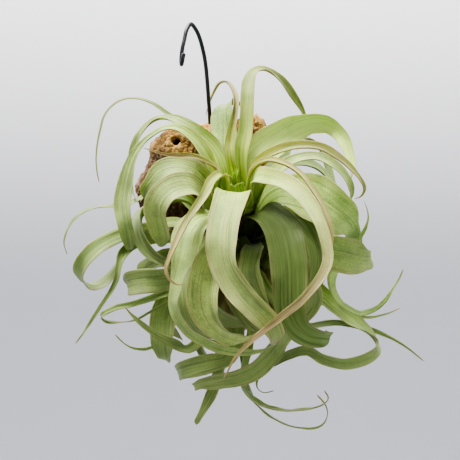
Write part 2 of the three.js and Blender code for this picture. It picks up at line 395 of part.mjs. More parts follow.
// A closed blade with three points across each face, both faces split alike.
function blade(start, channel, facing, profile, route) {
  const curve = new THREE.CatmullRomCurve3(route, false, "centripetal");
  const rows = Math.max(BLADE_LEAST_ROWS, Math.round(curve.getLength() / BLADE_STEP));
  const points = curve.getSpacedPoints(rows);
  const tangents = points.map((point, row) => points[Math.min(rows, row + 1)].clone()
    .sub(points[Math.max(0, row - 1)]).normalize());
  const across = crossDirections(points, tangents, start, facing);
  const positions = [];
  points.forEach((point, row) => {
    const half = widthAt(profile, row / rows) / 2;
    const fold = THREE.MathUtils.degToRad(channel)
      * THREE.MathUtils.smoothstep(row / rows, 0, FLAT_BASE_SHARE);
    const up = new THREE.Vector3().crossVectors(across[row], tangents[row]).negate();
    for (const face of [0.5, -0.5]) {
      for (const side of [-1, 0, 1]) {
        const corner = point.clone().addScaledVector(across[row], side * half * Math.cos(fold))
          .addScaledVector(up, Math.abs(side) * half * Math.sin(fold) + face * BLADE_THICKNESS);
        positions.push(corner.x, corner.y, corner.z);
      }
    }
  });
  const index = [];
  const quad = (a, b, c, d) => index.push(a, c, b, a, d, c);
  for (let row = 0; row < rows; row += 1) {
    const [near, far] = [row * 6, row * 6 + 6];
    for (const column of [0, 1]) {
      quad(near + column, near + column + 1, far + column + 1, far + column);
      index.push(near + 3 + column, near + 3 + column + 1, far + 3 + column + 1);
      index.push(near + 3 + column, far + 3 + column + 1, far + 3 + column);
    }
    quad(near + 3, near, far, far + 3);
    quad(near + 2, near + 5, far + 5, far + 2);
  }
  const end = rows * 6;
  quad(3, 4, 1, 0);
  quad(4, 5, 2, 1);
  quad(end, end + 1, end + 4, end + 3);
  quad(end + 1, end + 2, end + 5, end + 4);
  const geometry = new THREE.BufferGeometry();
  geometry.setAttribute("position", new THREE.Float32BufferAttribute(positions, 3));
  geometry.setIndex(index);
  return geometry;
}

function rootAcross(turn) {
  return new THREE.Vector3().crossVectors(outwards(turn), stemAxis);
}

function leaf([name, turn, down, channel, facing, profile, route]) {
  const points = [leafRoot(turn, down), ...route.map(placed)];
  return piece(name, blade(rootAcross(turn), channel, facing, profile, points), "leaf");
}

function heartLeaf(order) {
  const turn = order * HEART_TURN;
  const height = HEART_HEIGHT - order * HEART_SHORTER;
  const spread = HEART_SPREAD + order * HEART_WIDER;
  const at = (rise, lean) => vector(STEM_TIP).addScaledVector(stemAxis, -rise)
    .addScaledVector(outwards(turn), lean);
  const route = [at(-HEART_SUNK, 0), ...HEART_PATH.map(([up, out]) => at(up * height, out * spread))];
  return toSolid(blade(rootAcross(turn), HEART_CHANNEL, 0, HEART_PROFILE, route));
}

// A repeatable height of the bark at a point: crossing waves that bend each other.
function barkHeight(x, y, z, [height, wave]) {
  const [a, b, c] = [x * wave, y * wave, z * wave];
  return height * Math.sin(a + 2 * Math.sin(c)) * Math.sin(c + Math.sin(b)) * Math.cos(b + a / 3);
}

function corkLump() {
  const edge = new THREE.CatmullRomCurve3(
    CORK_OUTLINE.map(([across, up]) => new THREE.Vector3(across, 0, up)), true);
  const rim = edge.getSpacedPoints(CORK_COLUMNS);
  const [middle, level] = CORK_MIDDLE;
  const positions = [];
  for (let row = 0; row <= CORK_ROWS; row += 1) {
    const turn = (row / CORK_ROWS) * Math.PI;
    const reach = Math.abs(Math.sin(turn)) ** CORK_CORNERS;
    const depth = Math.sign(Math.cos(turn)) * Math.abs(Math.cos(turn)) ** CORK_CORNERS;
    for (let column = 0; column < CORK_COLUMNS; column += 1) {
      const across = middle + (rim[column].x - middle) * reach;
      const up = level + (rim[column].z - level) * reach;
      const back = (CORK_FRONT + CORK_BACK) / 2 - depth * (CORK_BACK - CORK_FRONT) / 2;
      const rough = barkHeight(across, back, up, BARK_LUMPS)
        + barkHeight(up, across, back, BARK_GRAIN);
      const stretch = 1 + rough * BARK_AT_RIM;
      const point = placed([
        middle + (across - middle) * stretch, back - depth * rough,
        level + (up - level) * stretch,
      ]);
      positions.push(point.x, point.y, point.z);
    }
  }
  const index = [];
  const at = (row, column) => row * CORK_COLUMNS + (column % CORK_COLUMNS);
  for (let row = 0; row < CORK_ROWS; row += 1) {
    for (let column = 0; column < CORK_COLUMNS; column += 1) {
      if (row < CORK_ROWS - 1) {
        index.push(at(row, column), at(row + 1, column), at(row + 1, column + 1));
      }
      if (row > 0) index.push(at(row, column), at(row + 1, column + 1), at(row, column + 1));
    }
  }
  const geometry = new THREE.BufferGeometry();
  geometry.setAttribute("position", new THREE.Float32BufferAttribute(positions, 3));
  geometry.setIndex(index);
  return geometry;
}

function wireTube(diameter) {
  const section = new THREE.Shape();
  for (let side = 0; side < WIRE_SIDES; side += 1) {
    const angle = (side / WIRE_SIDES) * 2 * Math.PI;
    const [x, y] = [Math.cos(angle) * diameter / 2, Math.sin(angle) * diameter / 2];
    if (side === 0) section.moveTo(x, y);
    else section.lineTo(x, y);
  }
  const route = new THREE.CatmullRomCurve3(WIRE_ROUTE.map(placed), false, "centripetal");
  return new THREE.ExtrudeGeometry(section, { steps: WIRE_STEPS, extrudePath: route });
}

// The stem as a turned body, with a skin of the given thickness round it. Its rings lie closer
// together towards the tip.
function stemBody(skin) {
  const profile = [new THREE.Vector2(0, skin)];
  for (let ring = 0; ring <= STEM_RINGS; ring += 1) {
    const down = STEM_LENGTH * (ring / STEM_RINGS) ** 2;
    profile.push(new THREE.Vector2(stemRadiusAt(down) + skin, skin - down));
  }
  profile.push(new THREE.Vector2(0, -STEM_LENGTH));
  const geometry = new THREE.LatheGeometry(profile.reverse(), STEM_SIDES);
  geometry.applyQuaternion(new THREE.Quaternion()
    .setFromUnitVectors(new THREE.Vector3(0, -1, 0), stemAxis));
  geometry.translate(...STEM_TIP);
  return toSolid(geometry);
}

function stem() {
  let body = stemBody(0);
  for (let order = 0; order < HEART_LEAVES; order += 1) body = body.add(heartLeaf(order));
  return toGeometry(body);
}

function cork() {
  let chunk = toSolid(corkLump());
  for (const [across, up, radius] of CORK_PITS) {
    const pit = new THREE.IcosahedronGeometry(radius, PIT_DETAIL).scale(1, PIT_DEPTH / radius, 1);
    const mouth = placed([across, CORK_FRONT, up]);
    chunk = chunk.subtract(toSolid(pit.translate(mouth.x, mouth.y, mouth.z)));
  }
  return chunk.subtract(toSolid(wireTube(WIRE_DIAMETER + 2 * CLEAR)));
}

function glueBead(chunk) {
  const bead = new THREE.IcosahedronGeometry(0.5, GLUE_DETAIL);
  bead.scale(...GLUE_SIZE).translate(...GLUE_CENTRE);
  return toSolid(bead).subtract(stemBody(CLEAR)).subtract(chunk.translate([0, -CLEAR, 0]));
}

const airPlant = new THREE.Group();
const chunk = cork();
airPlant.add(piece("hanger_wire", toGeometry(toSolid(wireTube(WIRE_DIAMETER))), "wire"));
airPlant.add(piece("cork_chunk", toGeometry(chunk), "cork"));
airPlant.add(piece("glue_bead", toGeometry(glueBead(chunk)), "glue"));
airPlant.add(piece("stem", stem(), "stem"));
LEAVES.forEach((row) => airPlant.add(leaf(row)));

export default airPlant;
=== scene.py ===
# The looks of a curly-leaved air plant that is glued to a chunk of cork bark, with a wire hook.
# Sizes are in millimetres here, times MM for the scene; +Z up, +Y to the back, the origin at the
# hook's seat.
import math
from collections import namedtuple

import bmesh
import bpy
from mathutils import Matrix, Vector, noise


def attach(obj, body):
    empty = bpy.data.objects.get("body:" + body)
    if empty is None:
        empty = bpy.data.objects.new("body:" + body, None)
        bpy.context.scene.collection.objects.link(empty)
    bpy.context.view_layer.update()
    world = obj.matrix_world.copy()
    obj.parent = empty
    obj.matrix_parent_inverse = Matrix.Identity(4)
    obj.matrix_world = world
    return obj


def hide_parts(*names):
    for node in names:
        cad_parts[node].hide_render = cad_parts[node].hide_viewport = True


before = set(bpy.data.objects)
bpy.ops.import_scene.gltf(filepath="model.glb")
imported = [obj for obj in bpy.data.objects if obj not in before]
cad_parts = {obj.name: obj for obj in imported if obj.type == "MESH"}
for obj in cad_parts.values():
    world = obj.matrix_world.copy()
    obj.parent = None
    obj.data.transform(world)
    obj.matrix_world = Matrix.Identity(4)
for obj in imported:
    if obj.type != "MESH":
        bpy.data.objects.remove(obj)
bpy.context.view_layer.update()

MM = 0.001
BODY = "root"

# ---- Sizes that the solids have too ----

WIRE_DIAMETER = 2.0
# [across, back, up] from the turned-up tip over the crook and down through the cork
WIRE_ROUTE = [
  [-3.4,-11.3,-12.8], [-4,-11.4,-15.6], [-4.4,-10.8,-17.6], [-4.6,-9.4,-18.4], [-4.7,-8,-17.6],
  [-4.7,-7.4,-15.5], [-4.2,-6.8,-11], [-3.2,-5,-6.5], [-2,-2.6,-1.6], [0,0,1], [2.4,2.8,-1.8],
  [4.2,5.4,-5.9], [5.7,8,-11.4], [6.6,10,-15.8], [7.2,12,-20.2], [7.7,14.5,-25.6], [8.4,20,-35],
  [9,26,-44], [9.2,29.5,-52], [9.3,31,-66], [9.4,32.5,-82], [9.5,34,-100], [9.5,34.6,-103],
  [9.5,36.6,-104.6], [9.5,40,-105], [9.5,44,-105],
]

# The cork's outline from the front, and how far its faces stand to the back
CORK_OUTLINE = [
  [35,-46.5], [31,-43.3], [26,-44.8], [20,-46], [14,-47], [8,-48], [4,-47.8], [-2,-48.5], [-9,-49.5],
  [-13,-50], [-16,-52.3], [-17.5,-54.5], [-19.5,-59], [-20,-63], [-21.5,-67.5], [-23.5,-71],
  [-25.5,-75.5], [-26.5,-79], [-24,-85], [-17,-92], [-6,-99], [6,-102], [18,-103], [28,-99], [33,-90],
  [35,-78], [36,-66], [36,-54],
]
CORK_MIDDLE = [5, -72]
CORK_FRONT = 20
CORK_BACK = 47
CORK_CORNERS = 0.5  # 1 rounds the chunk like an egg, less squares its edges

GLUE_CENTRE = [20, 18, -95]
GLUE_SIZE = [12, 9, 11]

# Stem, from its growing tip in the crown down and back to its glued foot
STEM_TIP = Vector((21, -2, -76))
STEM_FOOT = Vector((23, 19, -122))
STEM_RADIUS = 9.0
STEM_WIDE_TO = 26.0  # distance down the stem where it starts to narrow to its foot
STEM_TAPER = 0.45
CROWN_LENGTH = 14.0  # over this much of its top the stem swells from its tip to its full radius
TIP_SHARE = 0.12  # share of the full radius, squared, that the tip already has

# Blades
SIGHT_DISTANCE = 600.0  # leaf routes are set out as seen from this far in front of the crown
SIGHT_CENTRE = [18.7, -97.9]  # across and up
BLADE_THICKNESS = 0.7
FLAT_BASE_SHARE = 0.15  # a blade's channel deepens over this share of its length
BLADE_STEP = 6.0  # length of one row of facets along a solid's blade
BEND_LENGTH = 6.0  # how strongly a blade turns its flat side to its bends
SETTLING_ROUNDS = 60
CLEAR = 0.35  # gap kept between touching pieces

# Each leaf: name, turn round the stem in degrees (0 right, 90 back), distance down the stem,
# channel angle in degrees, how much its upper face turns to the front, [share of length, width]
# pairs, and the [across, back, up] points that it passes from its root outwards.
LEAVES = [
  ["leaf_inner_left_high", 168, 36, 15, 0.3, [[0,3.5], [0.1,4.5], [0.35,10], [0.65,13], [0.85,10], [1,1]],
   [[5,12,-110], [-3,9,-112], [-11,6,-112.5], [-18,4,-114], [-23,3,-117.5], [-25,4,-122]]],
  ["leaf_inner_low", 5, 41, 15, 0.1, [[0,3], [0.1,4], [0.3,10], [0.65,10], [0.85,7], [1,1]],
   [[36,12.5,-115], [40.5,13,-124], [38.5,15,-137], [31,15.5,-147], [20,15.5,-151.5], [9,15.5,-151],
    [1,16,-146]]],
  ["leaf_inner_right_dark", 312, 37, 15, 0.4, [[0,3], [0.1,4], [0.3,11], [0.65,12], [0.85,8], [1,1]],
   [[35,-3,-112.5], [43,-8,-114], [50,-13,-117.5], [56,-16,-124], [58,-17,-132], [54,-16,-139],
    [46,-14,-143]]],
  ["leaf_inner_left_low", 160, 40, 15, 0.2, [[0,4], [0.1,5], [0.3,11], [0.65,12], [0.85,8], [1,1]],
   [[4,21,-119], [-3,23,-126], [-9,21,-135], [-9,17,-144], [-4,14,-151]]],
  ["leaf_inner_centre", 275, 31, 15, 0.3, [[0,5], [0.3,12], [0.6,12], [0.85,8], [1,1]],
   [[21,-6,-108], [21,-17,-119], [23,-23,-131], [28,-22,-141], [35,-18,-147]]],
  ["leaf_inner_right", 312, 29, 15, 0.3, [[0,5], [0.3,11], [0.6,12], [0.85,8], [1,1]],
   [[30,-8,-106], [29,-21,-111], [28,-30,-120], [31,-34,-130], [36,-34,-140], [40,-30,-147]]],
  ["leaf_inner_left", 222, 28, 15, 0.3, [[0,5], [0.3,11], [0.6,12], [0.85,8], [1,1]],
   [[9,-6,-103], [2,-18,-110], [-3,-27,-120], [-3,-31,-130], [-1,-31,-140], [5,-28,-147], [12,-24,-150]]],
  ["leaf_rear_drop", 55, 41, 15, 0, [[0,5], [0.3,10], [0.6,9], [0.85,6], [1,1]],
   [[34,26,-122], [42,32,-134], [45,32,-147], [41,27,-157], [34,22,-161]]],
  ["leaf_rear_low", 125, 42, 15, 0, [[0,5], [0.3,10], [0.6,9], [0.85,6], [1,1]],
   [[14,28,-120], [6,36,-132], [2,38,-146], [6,34,-157], [13,28,-162]]],
  ["leaf_rear_left", 138, 34, 15, 0, [[0,5], [0.3,12], [0.6,11], [0.85,7], [1,1]],
   [[8,26,-108], [0,36,-112], [-7,42,-121], [-9,43,-132], [-5,40,-141]]],
  ["leaf_rear_centre", 92, 36, 15, 0, [[0,5], [0.3,14], [0.6,12], [0.85,7], [1,1]],
   [[25,34,-108], [28,46,-112], [30,54,-122], [30,55,-134], [26,50,-144], [20,44,-148]]],
  ["leaf_rear_right", 62, 31, 15, 0, [[0,5], [0.3,13], [0.6,12], [0.85,7], [1,1]],
   [[34,28,-101], [47,36,-104], [57,42,-112], [60,44,-124], [56,41,-135]]],
  ["leaf_back_broad", 100, 9, 18, 0.1, [[0,5], [0.3,14], [0.65,13], [0.85,9], [1,3]],
   [[17,9,-60], [16,13,-51], [15.5,16,-43], [16.5,19,-38.5], [19,25,-37], [24,31,-38]]],
  ["leaf_back_narrow", 80, 3, 50, 0, [[0,4], [0.2,7], [0.5,4.5], [0.75,2.5], [1,0.8]],
   [[19,0,-62], [19,2,-55], [20,4,-46], [21,7,-37], [20,12,-31], [17,18,-27], [13.5,24,-28],
    [10.5,28,-33], [8.5,30,-38], [7,29,-43]]],
  ["leaf_back_tall", 50, 5, 25, 0.25, [[0,4], [0.2,8], [0.45,7.5], [0.55,6], [0.75,5], [1,0.8]],
   [[24.5,2,-60], [26,4,-50], [26.5,6,-41], [27,9,-33], [28,13,-27], [30,18,-22.5], [34.5,23,-21],
    [40,28,-23.5], [45,33,-28], [49.5,37,-34], [53,40,-39.5], [55.5,42,-46], [57,42,-53]]],
  ["leaf_right_broad", 30, 8, 20, 0.9,
   [[0,5], [0.1,8], [0.25,18], [0.42,16], [0.58,11], [0.75,8], [0.9,5], [1,1]],
   [[29,4,-65], [34.5,7,-59], [42,11,-53.5], [50,15,-49], [58,18,-46.5], [65.5,19,-47], [71,17,-51],
    [74.5,14,-56.5], [76.5,11,-63], [77.5,8,-68.5], [77,6,-73]]],
  ["leaf_right_long", 12, 6, 50, 0.25, [[0,4], [0.2,8], [0.6,7], [0.85,3], [1,0.8]],
   [[31,-1,-68], [37,-3,-63], [44.5,-5,-59.5], [53,-6,-58], [62,-7,-59], [69.5,-8,-63], [76,-9,-68],
    [81,-10,-73.5], [83,-9,-78], [81.5,-7,-81.5], [78.5,-4,-83]]],
  ["leaf_right_under", 5, 13, 25, 0.3, [[0,4.5], [0.2,9], [0.6,8], [0.85,5], [1,1]],
   [[36.5,0,-77], [41.5,0,-70], [47,1,-66], [54,1,-63.5], [61,1,-63.5], [67,1,-66], [71.5,1,-69.5],
    [75.5,1,-75], [77,2,-80.5], [76,5,-84.5]]],
  ["leaf_right_shaded", 26, 15, 20, 0.2, [[0,5], [0.3,12], [0.6,10], [1,1]],
   [[36,8,-72], [43,11,-67.5], [51,12,-66], [58.5,12,-67.5], [64,11,-71.5], [67,10,-77], [68,10,-82],
    [66,14,-86]]],
  ["leaf_right_hump", 45, 24, 15, 0.2, [[0,5], [0.3,10], [0.6,8], [1,1]],
   [[37,17,-76], [43,20,-62.5], [48.5,23,-55.5], [54,26,-54], [59.5,29,-56.5], [63.5,30,-62.5],
    [66,29,-69], [68.5,26,-75.5], [72.5,22,-80], [75.5,18,-83]]],
  ["leaf_right_thin", 345, 4, 55, 0.2, [[0,4], [0.2,5.5], [0.5,4], [0.8,3], [1,0.8]],
   [[30,-10,-69], [37,-15,-65], [45.5,-20,-67], [53,-24,-72], [58.5,-28,-79], [63,-32,-86.5],
    [66,-35,-94], [67,-36,-101], [66.5,-36,-108], [65,-34,-113.5], [61.5,-30,-118]]],
  ["leaf_right_wing", 324, 19, 12, 0.6,
   [[0,5], [0.06,6], [0.15,15], [0.27,23], [0.36,19], [0.44,9], [0.55,5.5], [0.75,3.5], [1,0.8]],
   [[37,-8,-83], [43,-11,-79.5], [50,-14.5,-79.5], [58,-17.5,-82], [65.5,-20,-86.5], [72,-19,-91.5],
    [76.5,-12,-96.5], [77,-3,-102.5], [72,2,-109.5], [69.5,1,-115], [67.5,-2,-121], [68,-5,-126.5],
    [71,-7,-132], [76,-8,-136], [81.5,-8,-138], [88,-8,-136], [93,-8,-132], [97,-8,-126], [100,-8,-121],
    [102,-8,-116.5]]],
  ["leaf_front_sweep", 335, 10, 20, 0.5, [[0,5], [0.1,10], [0.3,8.5], [0.45,6], [0.7,4], [1,0.8]],
   [[31,-14,-72.8], [38,-22,-72.7], [46,-30,-75.5], [52.5,-36,-80.5], [58,-42,-87.5], [62,-47,-95.5],
    [64.5,-51,-104], [65.5,-54,-112], [63.5,-57,-118.5], [58.5,-60,-125.5], [51.5,-61,-133],
    [42.5,-62,-140], [34,-62,-147], [26.5,-61,-153.5], [20.5,-60,-160], [18,-59,-165],
    [15.5,-58,-169.5]]],
  ["leaf_front_right_inner", 342, 24, 20, 0.3, [[0,5], [0.1,7], [0.3,12], [0.6,13], [0.85,8], [1,1]],
   [[39,-3,-91], [45,-8,-91], [51,-13,-93.5], [55.5,-17,-98.5], [58.5,-19,-104.5], [60,-20,-112],
    [59,-20,-120], [55,-20,-127]]],
  ["leaf_right_flag", 328, 28, 15, 0.5, [[0,5], [0.2,14], [0.5,18], [0.61,10], [0.7,4], [1,0.8]],
   [[45,-4,-94], [54.5,-10,-101], [64.5,-12,-107.3], [74,-11.5,-110], [81.5,-8,-112], [86,-1,-112],
    [85,8,-110.5], [82,12,-106.5], [81,12,-102], [83.5,11,-97], [85,10,-92], [84.5,9,-88], [83,8,-84]]],
  ["leaf_right_tail", 325, 34, 20, 0.3, [[0,5], [0.15,12], [0.3,11], [0.45,5], [0.7,3], [1,0.8]],
   [[38,3,-106], [46,5,-104], [54,1,-108.5], [59,-4,-114], [59.5,-8,-120], [56.5,-9,-126], [54,-8,-132.5],
    [54,-6,-139], [56.5,-5,-144], [62,-3,-143.5], [69,0,-142.5], [77,3,-143.5], [86,4,-145.5],
    [94.5,4,-149], [102.5,3,-153.5], [112,2,-161]]],
  ["leaf_right_loop", 330, 38, 20, 0.3, [[0,5], [0.15,9], [0.35,9], [0.6,6], [0.8,5], [0.93,2], [1,0.8]],
   [[39,8,-111], [51,11,-114], [58,8,-124], [64,5,-130.5], [71.5,2,-137], [79,-1,-142.5], [85.5,-5,-148],
    [89,-10,-153], [87,-16,-157.5], [80,-20,-161], [72.5,-22,-162], [64.5,-22,-160], [56.5,-17,-156],
    [48.5,-9,-157.5], [41.5,-4,-161], [35.5,-2,-165], [32,-1,-170], [32,0,-174], [35,1,-176],
    [39.5,1,-175]]],
  ["leaf_front_centre", 268, 13, 15, 0.2, [[0,6], [0.12,17], [0.5,15], [0.8,11], [0.93,9], [1,3]],
   [[20.5,-19,-80.5], [19.5,-28,-82], [18,-37,-87], [16,-43.5,-94.5], [15,-48,-102.5], [15.5,-51,-111.5],
    [18,-53,-119], [22.5,-55,-126.5], [28.5,-57,-133.5], [34,-57,-139], [38.5,-55,-144], [40.5,-50,-149],
    [40,-44,-153]]],
  ["leaf_front_left_thin", 215, 4, 50, 0.2, [[0,4], [0.2,7], [0.6,5], [0.85,3], [1,0.8]],
   [[15,-12,-72], [10,-20,-75], [6,-29,-81.5], [1.5,-38,-89], [-3,-44,-96.5], [-7,-49,-104.5],
    [-10,-52,-111.5], [-11.5,-53,-117], [-10,-53,-121.5], [-6.5,-52,-124], [-2.5,-52,-123.5]]],
  ["leaf_front_right_broad", 300, 25, 12, 0.3,
   [[0,5], [0.08,8], [0.2,19], [0.45,18], [0.7,13], [0.85,8], [1,1]],
   [[31.5,-14,-90], [37,-24,-91.5], [42.5,-32,-96.5], [45.5,-38,-104], [47,-42,-112.5], [47.5,-44,-121],
    [47.5,-44.5,-129], [48,-44,-137], [51,-42,-144], [56.5,-38,-148.5], [63,-32,-150], [66,-24,-150],
    [66.5,-15,-148.5], [64.5,-8,-146]]],
  ["leaf_front_left_broad", 246, 24, 15, 0.3,
   [[0,5], [0.07,6.5], [0.2,14], [0.33,15], [0.48,7], [0.75,4.5], [1,1]],
   [[13.5,-13,-94], [9.5,-22,-92.5], [4.5,-30,-93.5], [0,-36,-98], [-2.5,-39.5,-105], [-4,-42.5,-112.5],
    [-6,-44.5,-120], [-7,-46,-127], [-8,-47,-133.5], [-6,-48,-140], [-1.5,-48,-146.5], [6,-47,-151.5],
    [14.5,-45,-155], [23.5,-42,-156.5], [32,-38,-156], [39,-33,-153.5], [43.5,-28,-150]]],
  ["leaf_front_left_inner", 264, 28, 15, 0.3, [[0,5], [0.1,8], [0.3,14], [0.6,16], [0.8,11], [1,1]],
   [[16.5,-12,-102], [12.5,-22,-108.5], [8.5,-30,-115], [6.5,-35,-123], [6,-38,-131.5], [8,-38,-139.5],
    [13,-36,-146], [19.5,-32,-149.5], [26.5,-27,-150], [30.5,-23,-147.5]]],
  ["leaf_front_cup", 250, 35, 15, 0.2, [[0,4.5], [0.3,11], [0.7,11], [1,1]],
   [[12,-2,-112], [7.5,-7,-119], [8,-11,-128], [12.5,-15,-136.5], [19.5,-17,-141], [27.5,-15,-141.5],
    [31.5,-10,-138]]],
  ["leaf_lower_point", 262, 45, 15, 0.3, [[0,4], [0.3,7], [0.75,6], [0.95,3], [1,1]],
   [[18,5,-127], [16,7,-141], [14.5,6,-158], [12.5,2,-170], [9.5,-3,-177.5], [6,-7,-184], [3,-9,-189.5],
    [2.5,-6,-191.5]]],
  ["leaf_middle_arch", 290, 36, 20, 0.3, [[0,4], [0.2,6], [0.5,5], [0.75,2], [1,0.8]],
   [[26,-3,-111], [29,-9,-116], [33,-13,-120.5], [37,-14,-127], [42.5,-8,-133], [52.5,6,-133],
    [61,14,-132], [69.5,16,-135], [77.5,15,-138.5], [84,13,-140], [91,10,-139], [97,8,-137],
    [101,6,-135]]],
  ["leaf_left_arch", 136, 5, 25, 0.35, [[0,4], [0.1,6], [0.25,10], [0.38,8.5], [0.5,6], [0.7,4], [1,0.8]],
   [[14.5,5.5,-67], [10.5,7.5,-59], [4.5,8.5,-53], [-2,10,-48.5], [-8.5,13,-45], [-15,15,-44.5],
    [-20,17,-47], [-24.5,17,-52], [-27.5,17,-58], [-29,16,-65], [-29,14,-73], [-28,12,-79.5],
    [-25.5,9,-85]]],
  ["leaf_left_paddle", 164, 9, 25, 0.3,
   [[0,4.5], [0.1,6], [0.25,9], [0.4,5], [0.52,5], [0.75,9.5], [0.88,8], [1,1]],
   [[10,-1,-69], [5.5,-4,-60], [-0.5,-5,-53], [-6.5,-5,-49.5], [-13,-4,-49.5], [-18.5,-3,-52.5],
    [-24,-4,-57.5], [-28,-5,-64], [-30.5,-7,-71.5], [-32,-9,-79], [-32.5,-12,-87], [-31.5,-14,-94.5],
    [-30,-12,-102], [-29.5,-7,-106.5], [-29.5,-2,-107]]],
  ["leaf_left_far_arc", 128, 12, 25, 0.2, [[0,4], [0.2,5], [0.4,2.6], [0.7,1.8], [1,0.8]],
   [[9,11,-59.5], [2.5,15,-52.5], [-5,19,-46], [-11.5,22,-42], [-18,23,-37.5], [-25,22,-35],
    [-31.5,20,-35], [-37.5,18,-38], [-41.5,17,-43], [-43.5,16,-50], [-45,15,-57.5], [-45.5,14,-65],
    [-45,13,-70.5], [-44,12,-75]]],
  ["leaf_left_dry", 184, 2.5, 55, 0, [[0,3], [0.2,5], [0.6,3.5], [1,0.8]],
   [[12,-8,-69], [6.5,-13.5,-65], [0.5,-17,-62.5], [-6,-18,-62], [-12.5,-18,-61.5], [-18,-18,-60],
    [-23,-17,-58.5]]],
  ["leaf_left_upper_broad", 186, 15, 20, 0.5, [[0,4.5], [0.12,7], [0.35,16], [0.6,16], [0.85,10], [1,2]],
   [[8,-1.5,-84], [4,-6,-76], [-0.5,-9.5,-71.5], [-7,-10.5,-69.5], [-13.5,-9.5,-71], [-18,-7,-76],
    [-21,-3,-81], [-21.5,2,-84]]],
  ["leaf_left_lower_broad", 211, 21, 18, 0.5, [[0,4.5], [0.13,6.5], [0.33,15], [0.6,14], [0.8,10], [1,2]],
   [[8,-8,-90], [5,-15,-81.5], [-0.5,-20.5,-77], [-7.5,-25,-77.5], [-13.5,-27,-81.5], [-16.5,-26,-87.5],
    [-16,-23,-94], [-14.5,-19.5,-100], [-14,-14,-104.5], [-14.5,-8,-106]]],
  ["leaf_left_fold", 186, 25, 40, 0.3, [[0,4], [0.25,8.5], [0.5,11.5], [0.75,9], [0.9,6], [1,1]],
   [[-3,1,-84], [-12.5,2,-86], [-20,1.5,-88.5], [-24,-2,-92.5], [-24.5,-5.5,-98.5], [-22.5,-8,-104],
    [-18,-10,-109.5], [-11,-12,-113.5], [-5,-13,-116]]],
  ["leaf_left_behind", 150, 20, 20, 0.3, [[0,5], [0.3,9], [0.7,8], [1,1]],
   [[2,12,-67], [-7.5,14,-66], [-15,14,-68], [-20,12,-74], [-22,9,-80], [-24.5,6,-84.5]]],
  ["leaf_left_hoop", 190, 31, 12, 0.2, [[0,5], [0.2,7], [0.6,8], [0.85,9], [0.94,7], [1,2]],
   [[4,11,-98], [-7.5,10,-94.5], [-19.5,6,-97], [-29.5,0,-99], [-38,-6,-102], [-45.5,-10,-106.5],
    [-51.5,-11,-113], [-53.5,-7,-118.5], [-50.5,0,-123.5], [-45,6,-124], [-40,9,-120], [-35.5,8,-114],
    [-33,6,-108.5]]],
  ["leaf_left_spike", 200, 35, 20, 0.4, [[0,4], [0.25,7], [0.5,6], [0.6,3.2], [0.8,2], [1,0.8]],
   [[-10,10,-101], [-20.5,10,-102], [-29,7,-105], [-33.5,3,-110], [-35,-1,-116], [-36,-4,-121.5],
    [-38.5,-6,-127], [-42.5,-8,-133], [-47,-9,-140], [-51.5,-10,-147], [-55.5,-10,-152.5]]],
  ["leaf_left_feeler", 172, 28, 20, 0.2, [[0,4], [0.3,5], [0.5,3], [0.7,1.8], [1,0.8]],
   [[-10,14,-80], [-19.5,14,-81], [-26,12,-83.5], [-31.5,10,-86.5], [-38,9,-86.5], [-44.5,8,-87],
    [-51.5,7,-89], [-56.5,6,-93.5], [-60,5,-99], [-61,5,-104], [-59.5,6,-109.5]]],
  ["leaf_low_left_broad", 230, 32, 12, 0.5, [[0,5], [0.3,10], [0.65,12], [0.85,9], [1,2]],
   [[4.5,-4,-105], [-0.5,-12,-113.5], [-7,-17,-119.5], [-15,-20,-122], [-22.5,-21,-122.5],
    [-29,-17,-123.5], [-30.5,-8,-124.5], [-28.5,0,-126], [-23.5,6,-127]]],
  ["leaf_low_left_coil", 226, 40, 20, 0.3, [[0,4], [0.25,5], [0.5,3], [0.8,2.2], [1,0.8]],
   [[4,1,-117], [-4.5,-6,-124], [-12.5,-11,-128], [-20.5,-13,-131], [-28.5,-14,-133.5], [-35.5,-14,-135],
    [-41,-13,-137.5], [-43,-9,-139.5], [-41,-5,-141.5], [-35,-3,-142], [-28.5,-2,-141.5], [-21.5,-1,-138],
    [-15,1,-134.5], [-9,4,-131.5]]],
  ["leaf_low_left_rise", 214, 44, 20, 0.4, [[0,4], [0.3,7], [0.6,6], [0.85,3], [1,0.8]],
   [[9,9,-132], [6,3,-146], [2.5,-4,-153.5], [-2.5,-10,-155.5], [-9.5,-15,-152], [-17.5,-18,-147.5],
    [-24,-19,-142.5], [-29,-19,-138], [-32,-19,-134.5]]],
  ["leaf_low_left_drop", 190, 38, 12, 0.5,
   [[0,5], [0.25,11], [0.42,14], [0.53,12], [0.61,7], [0.7,2.5], [1,0.8]],
   [[1,16,-117], [-6,14,-126], [-12,9,-136], [-13.5,5,-145], [-13.5,3,-153], [-13,6,-159], [-12,13,-160],
    [-14,19,-157], [-18,21,-154], [-22.5,20,-155], [-28,19,-154.5], [-32.5,18,-152], [-36.5,16,-148]]],
  ["leaf_low_left_tongue", 268, 40, 12, 0.5, [[0,5], [0.3,8], [0.7,10], [0.88,8], [1,1]],
   [[22,-1,-134], [21.5,-7,-150], [17,-12,-160], [9.5,-15,-162], [2.5,-16,-163.5], [-3.5,-14,-165],
    [-6,-6,-166.5], [-4,2,-167.5]]],
  ["leaf_low_crescent", 305, 41, 15, 0.4, [[0,4.5], [0.3,8], [0.6,10], [0.8,8], [0.93,4], [1,1]],
   [[33,5,-118], [41,8,-122], [46,8,-131], [47,2,-144], [42,-8,-152.5], [37,-15,-159], [30,-20,-165.5],
    [21,-23,-169], [12,-24,-170.5], [5.5,-21,-171.5], [2,-16,-173], [2,-8,-172.5]]],
  ["leaf_low_right_curl", 292, 43, 20, 0.2, [[0,4], [0.35,5], [0.6,5], [0.85,2.5], [1,0.8]],
   [[29,8,-134], [27.5,6,-153], [25,5,-165], [25,4,-173.5], [29.5,0,-179.5], [36,-3,-183],
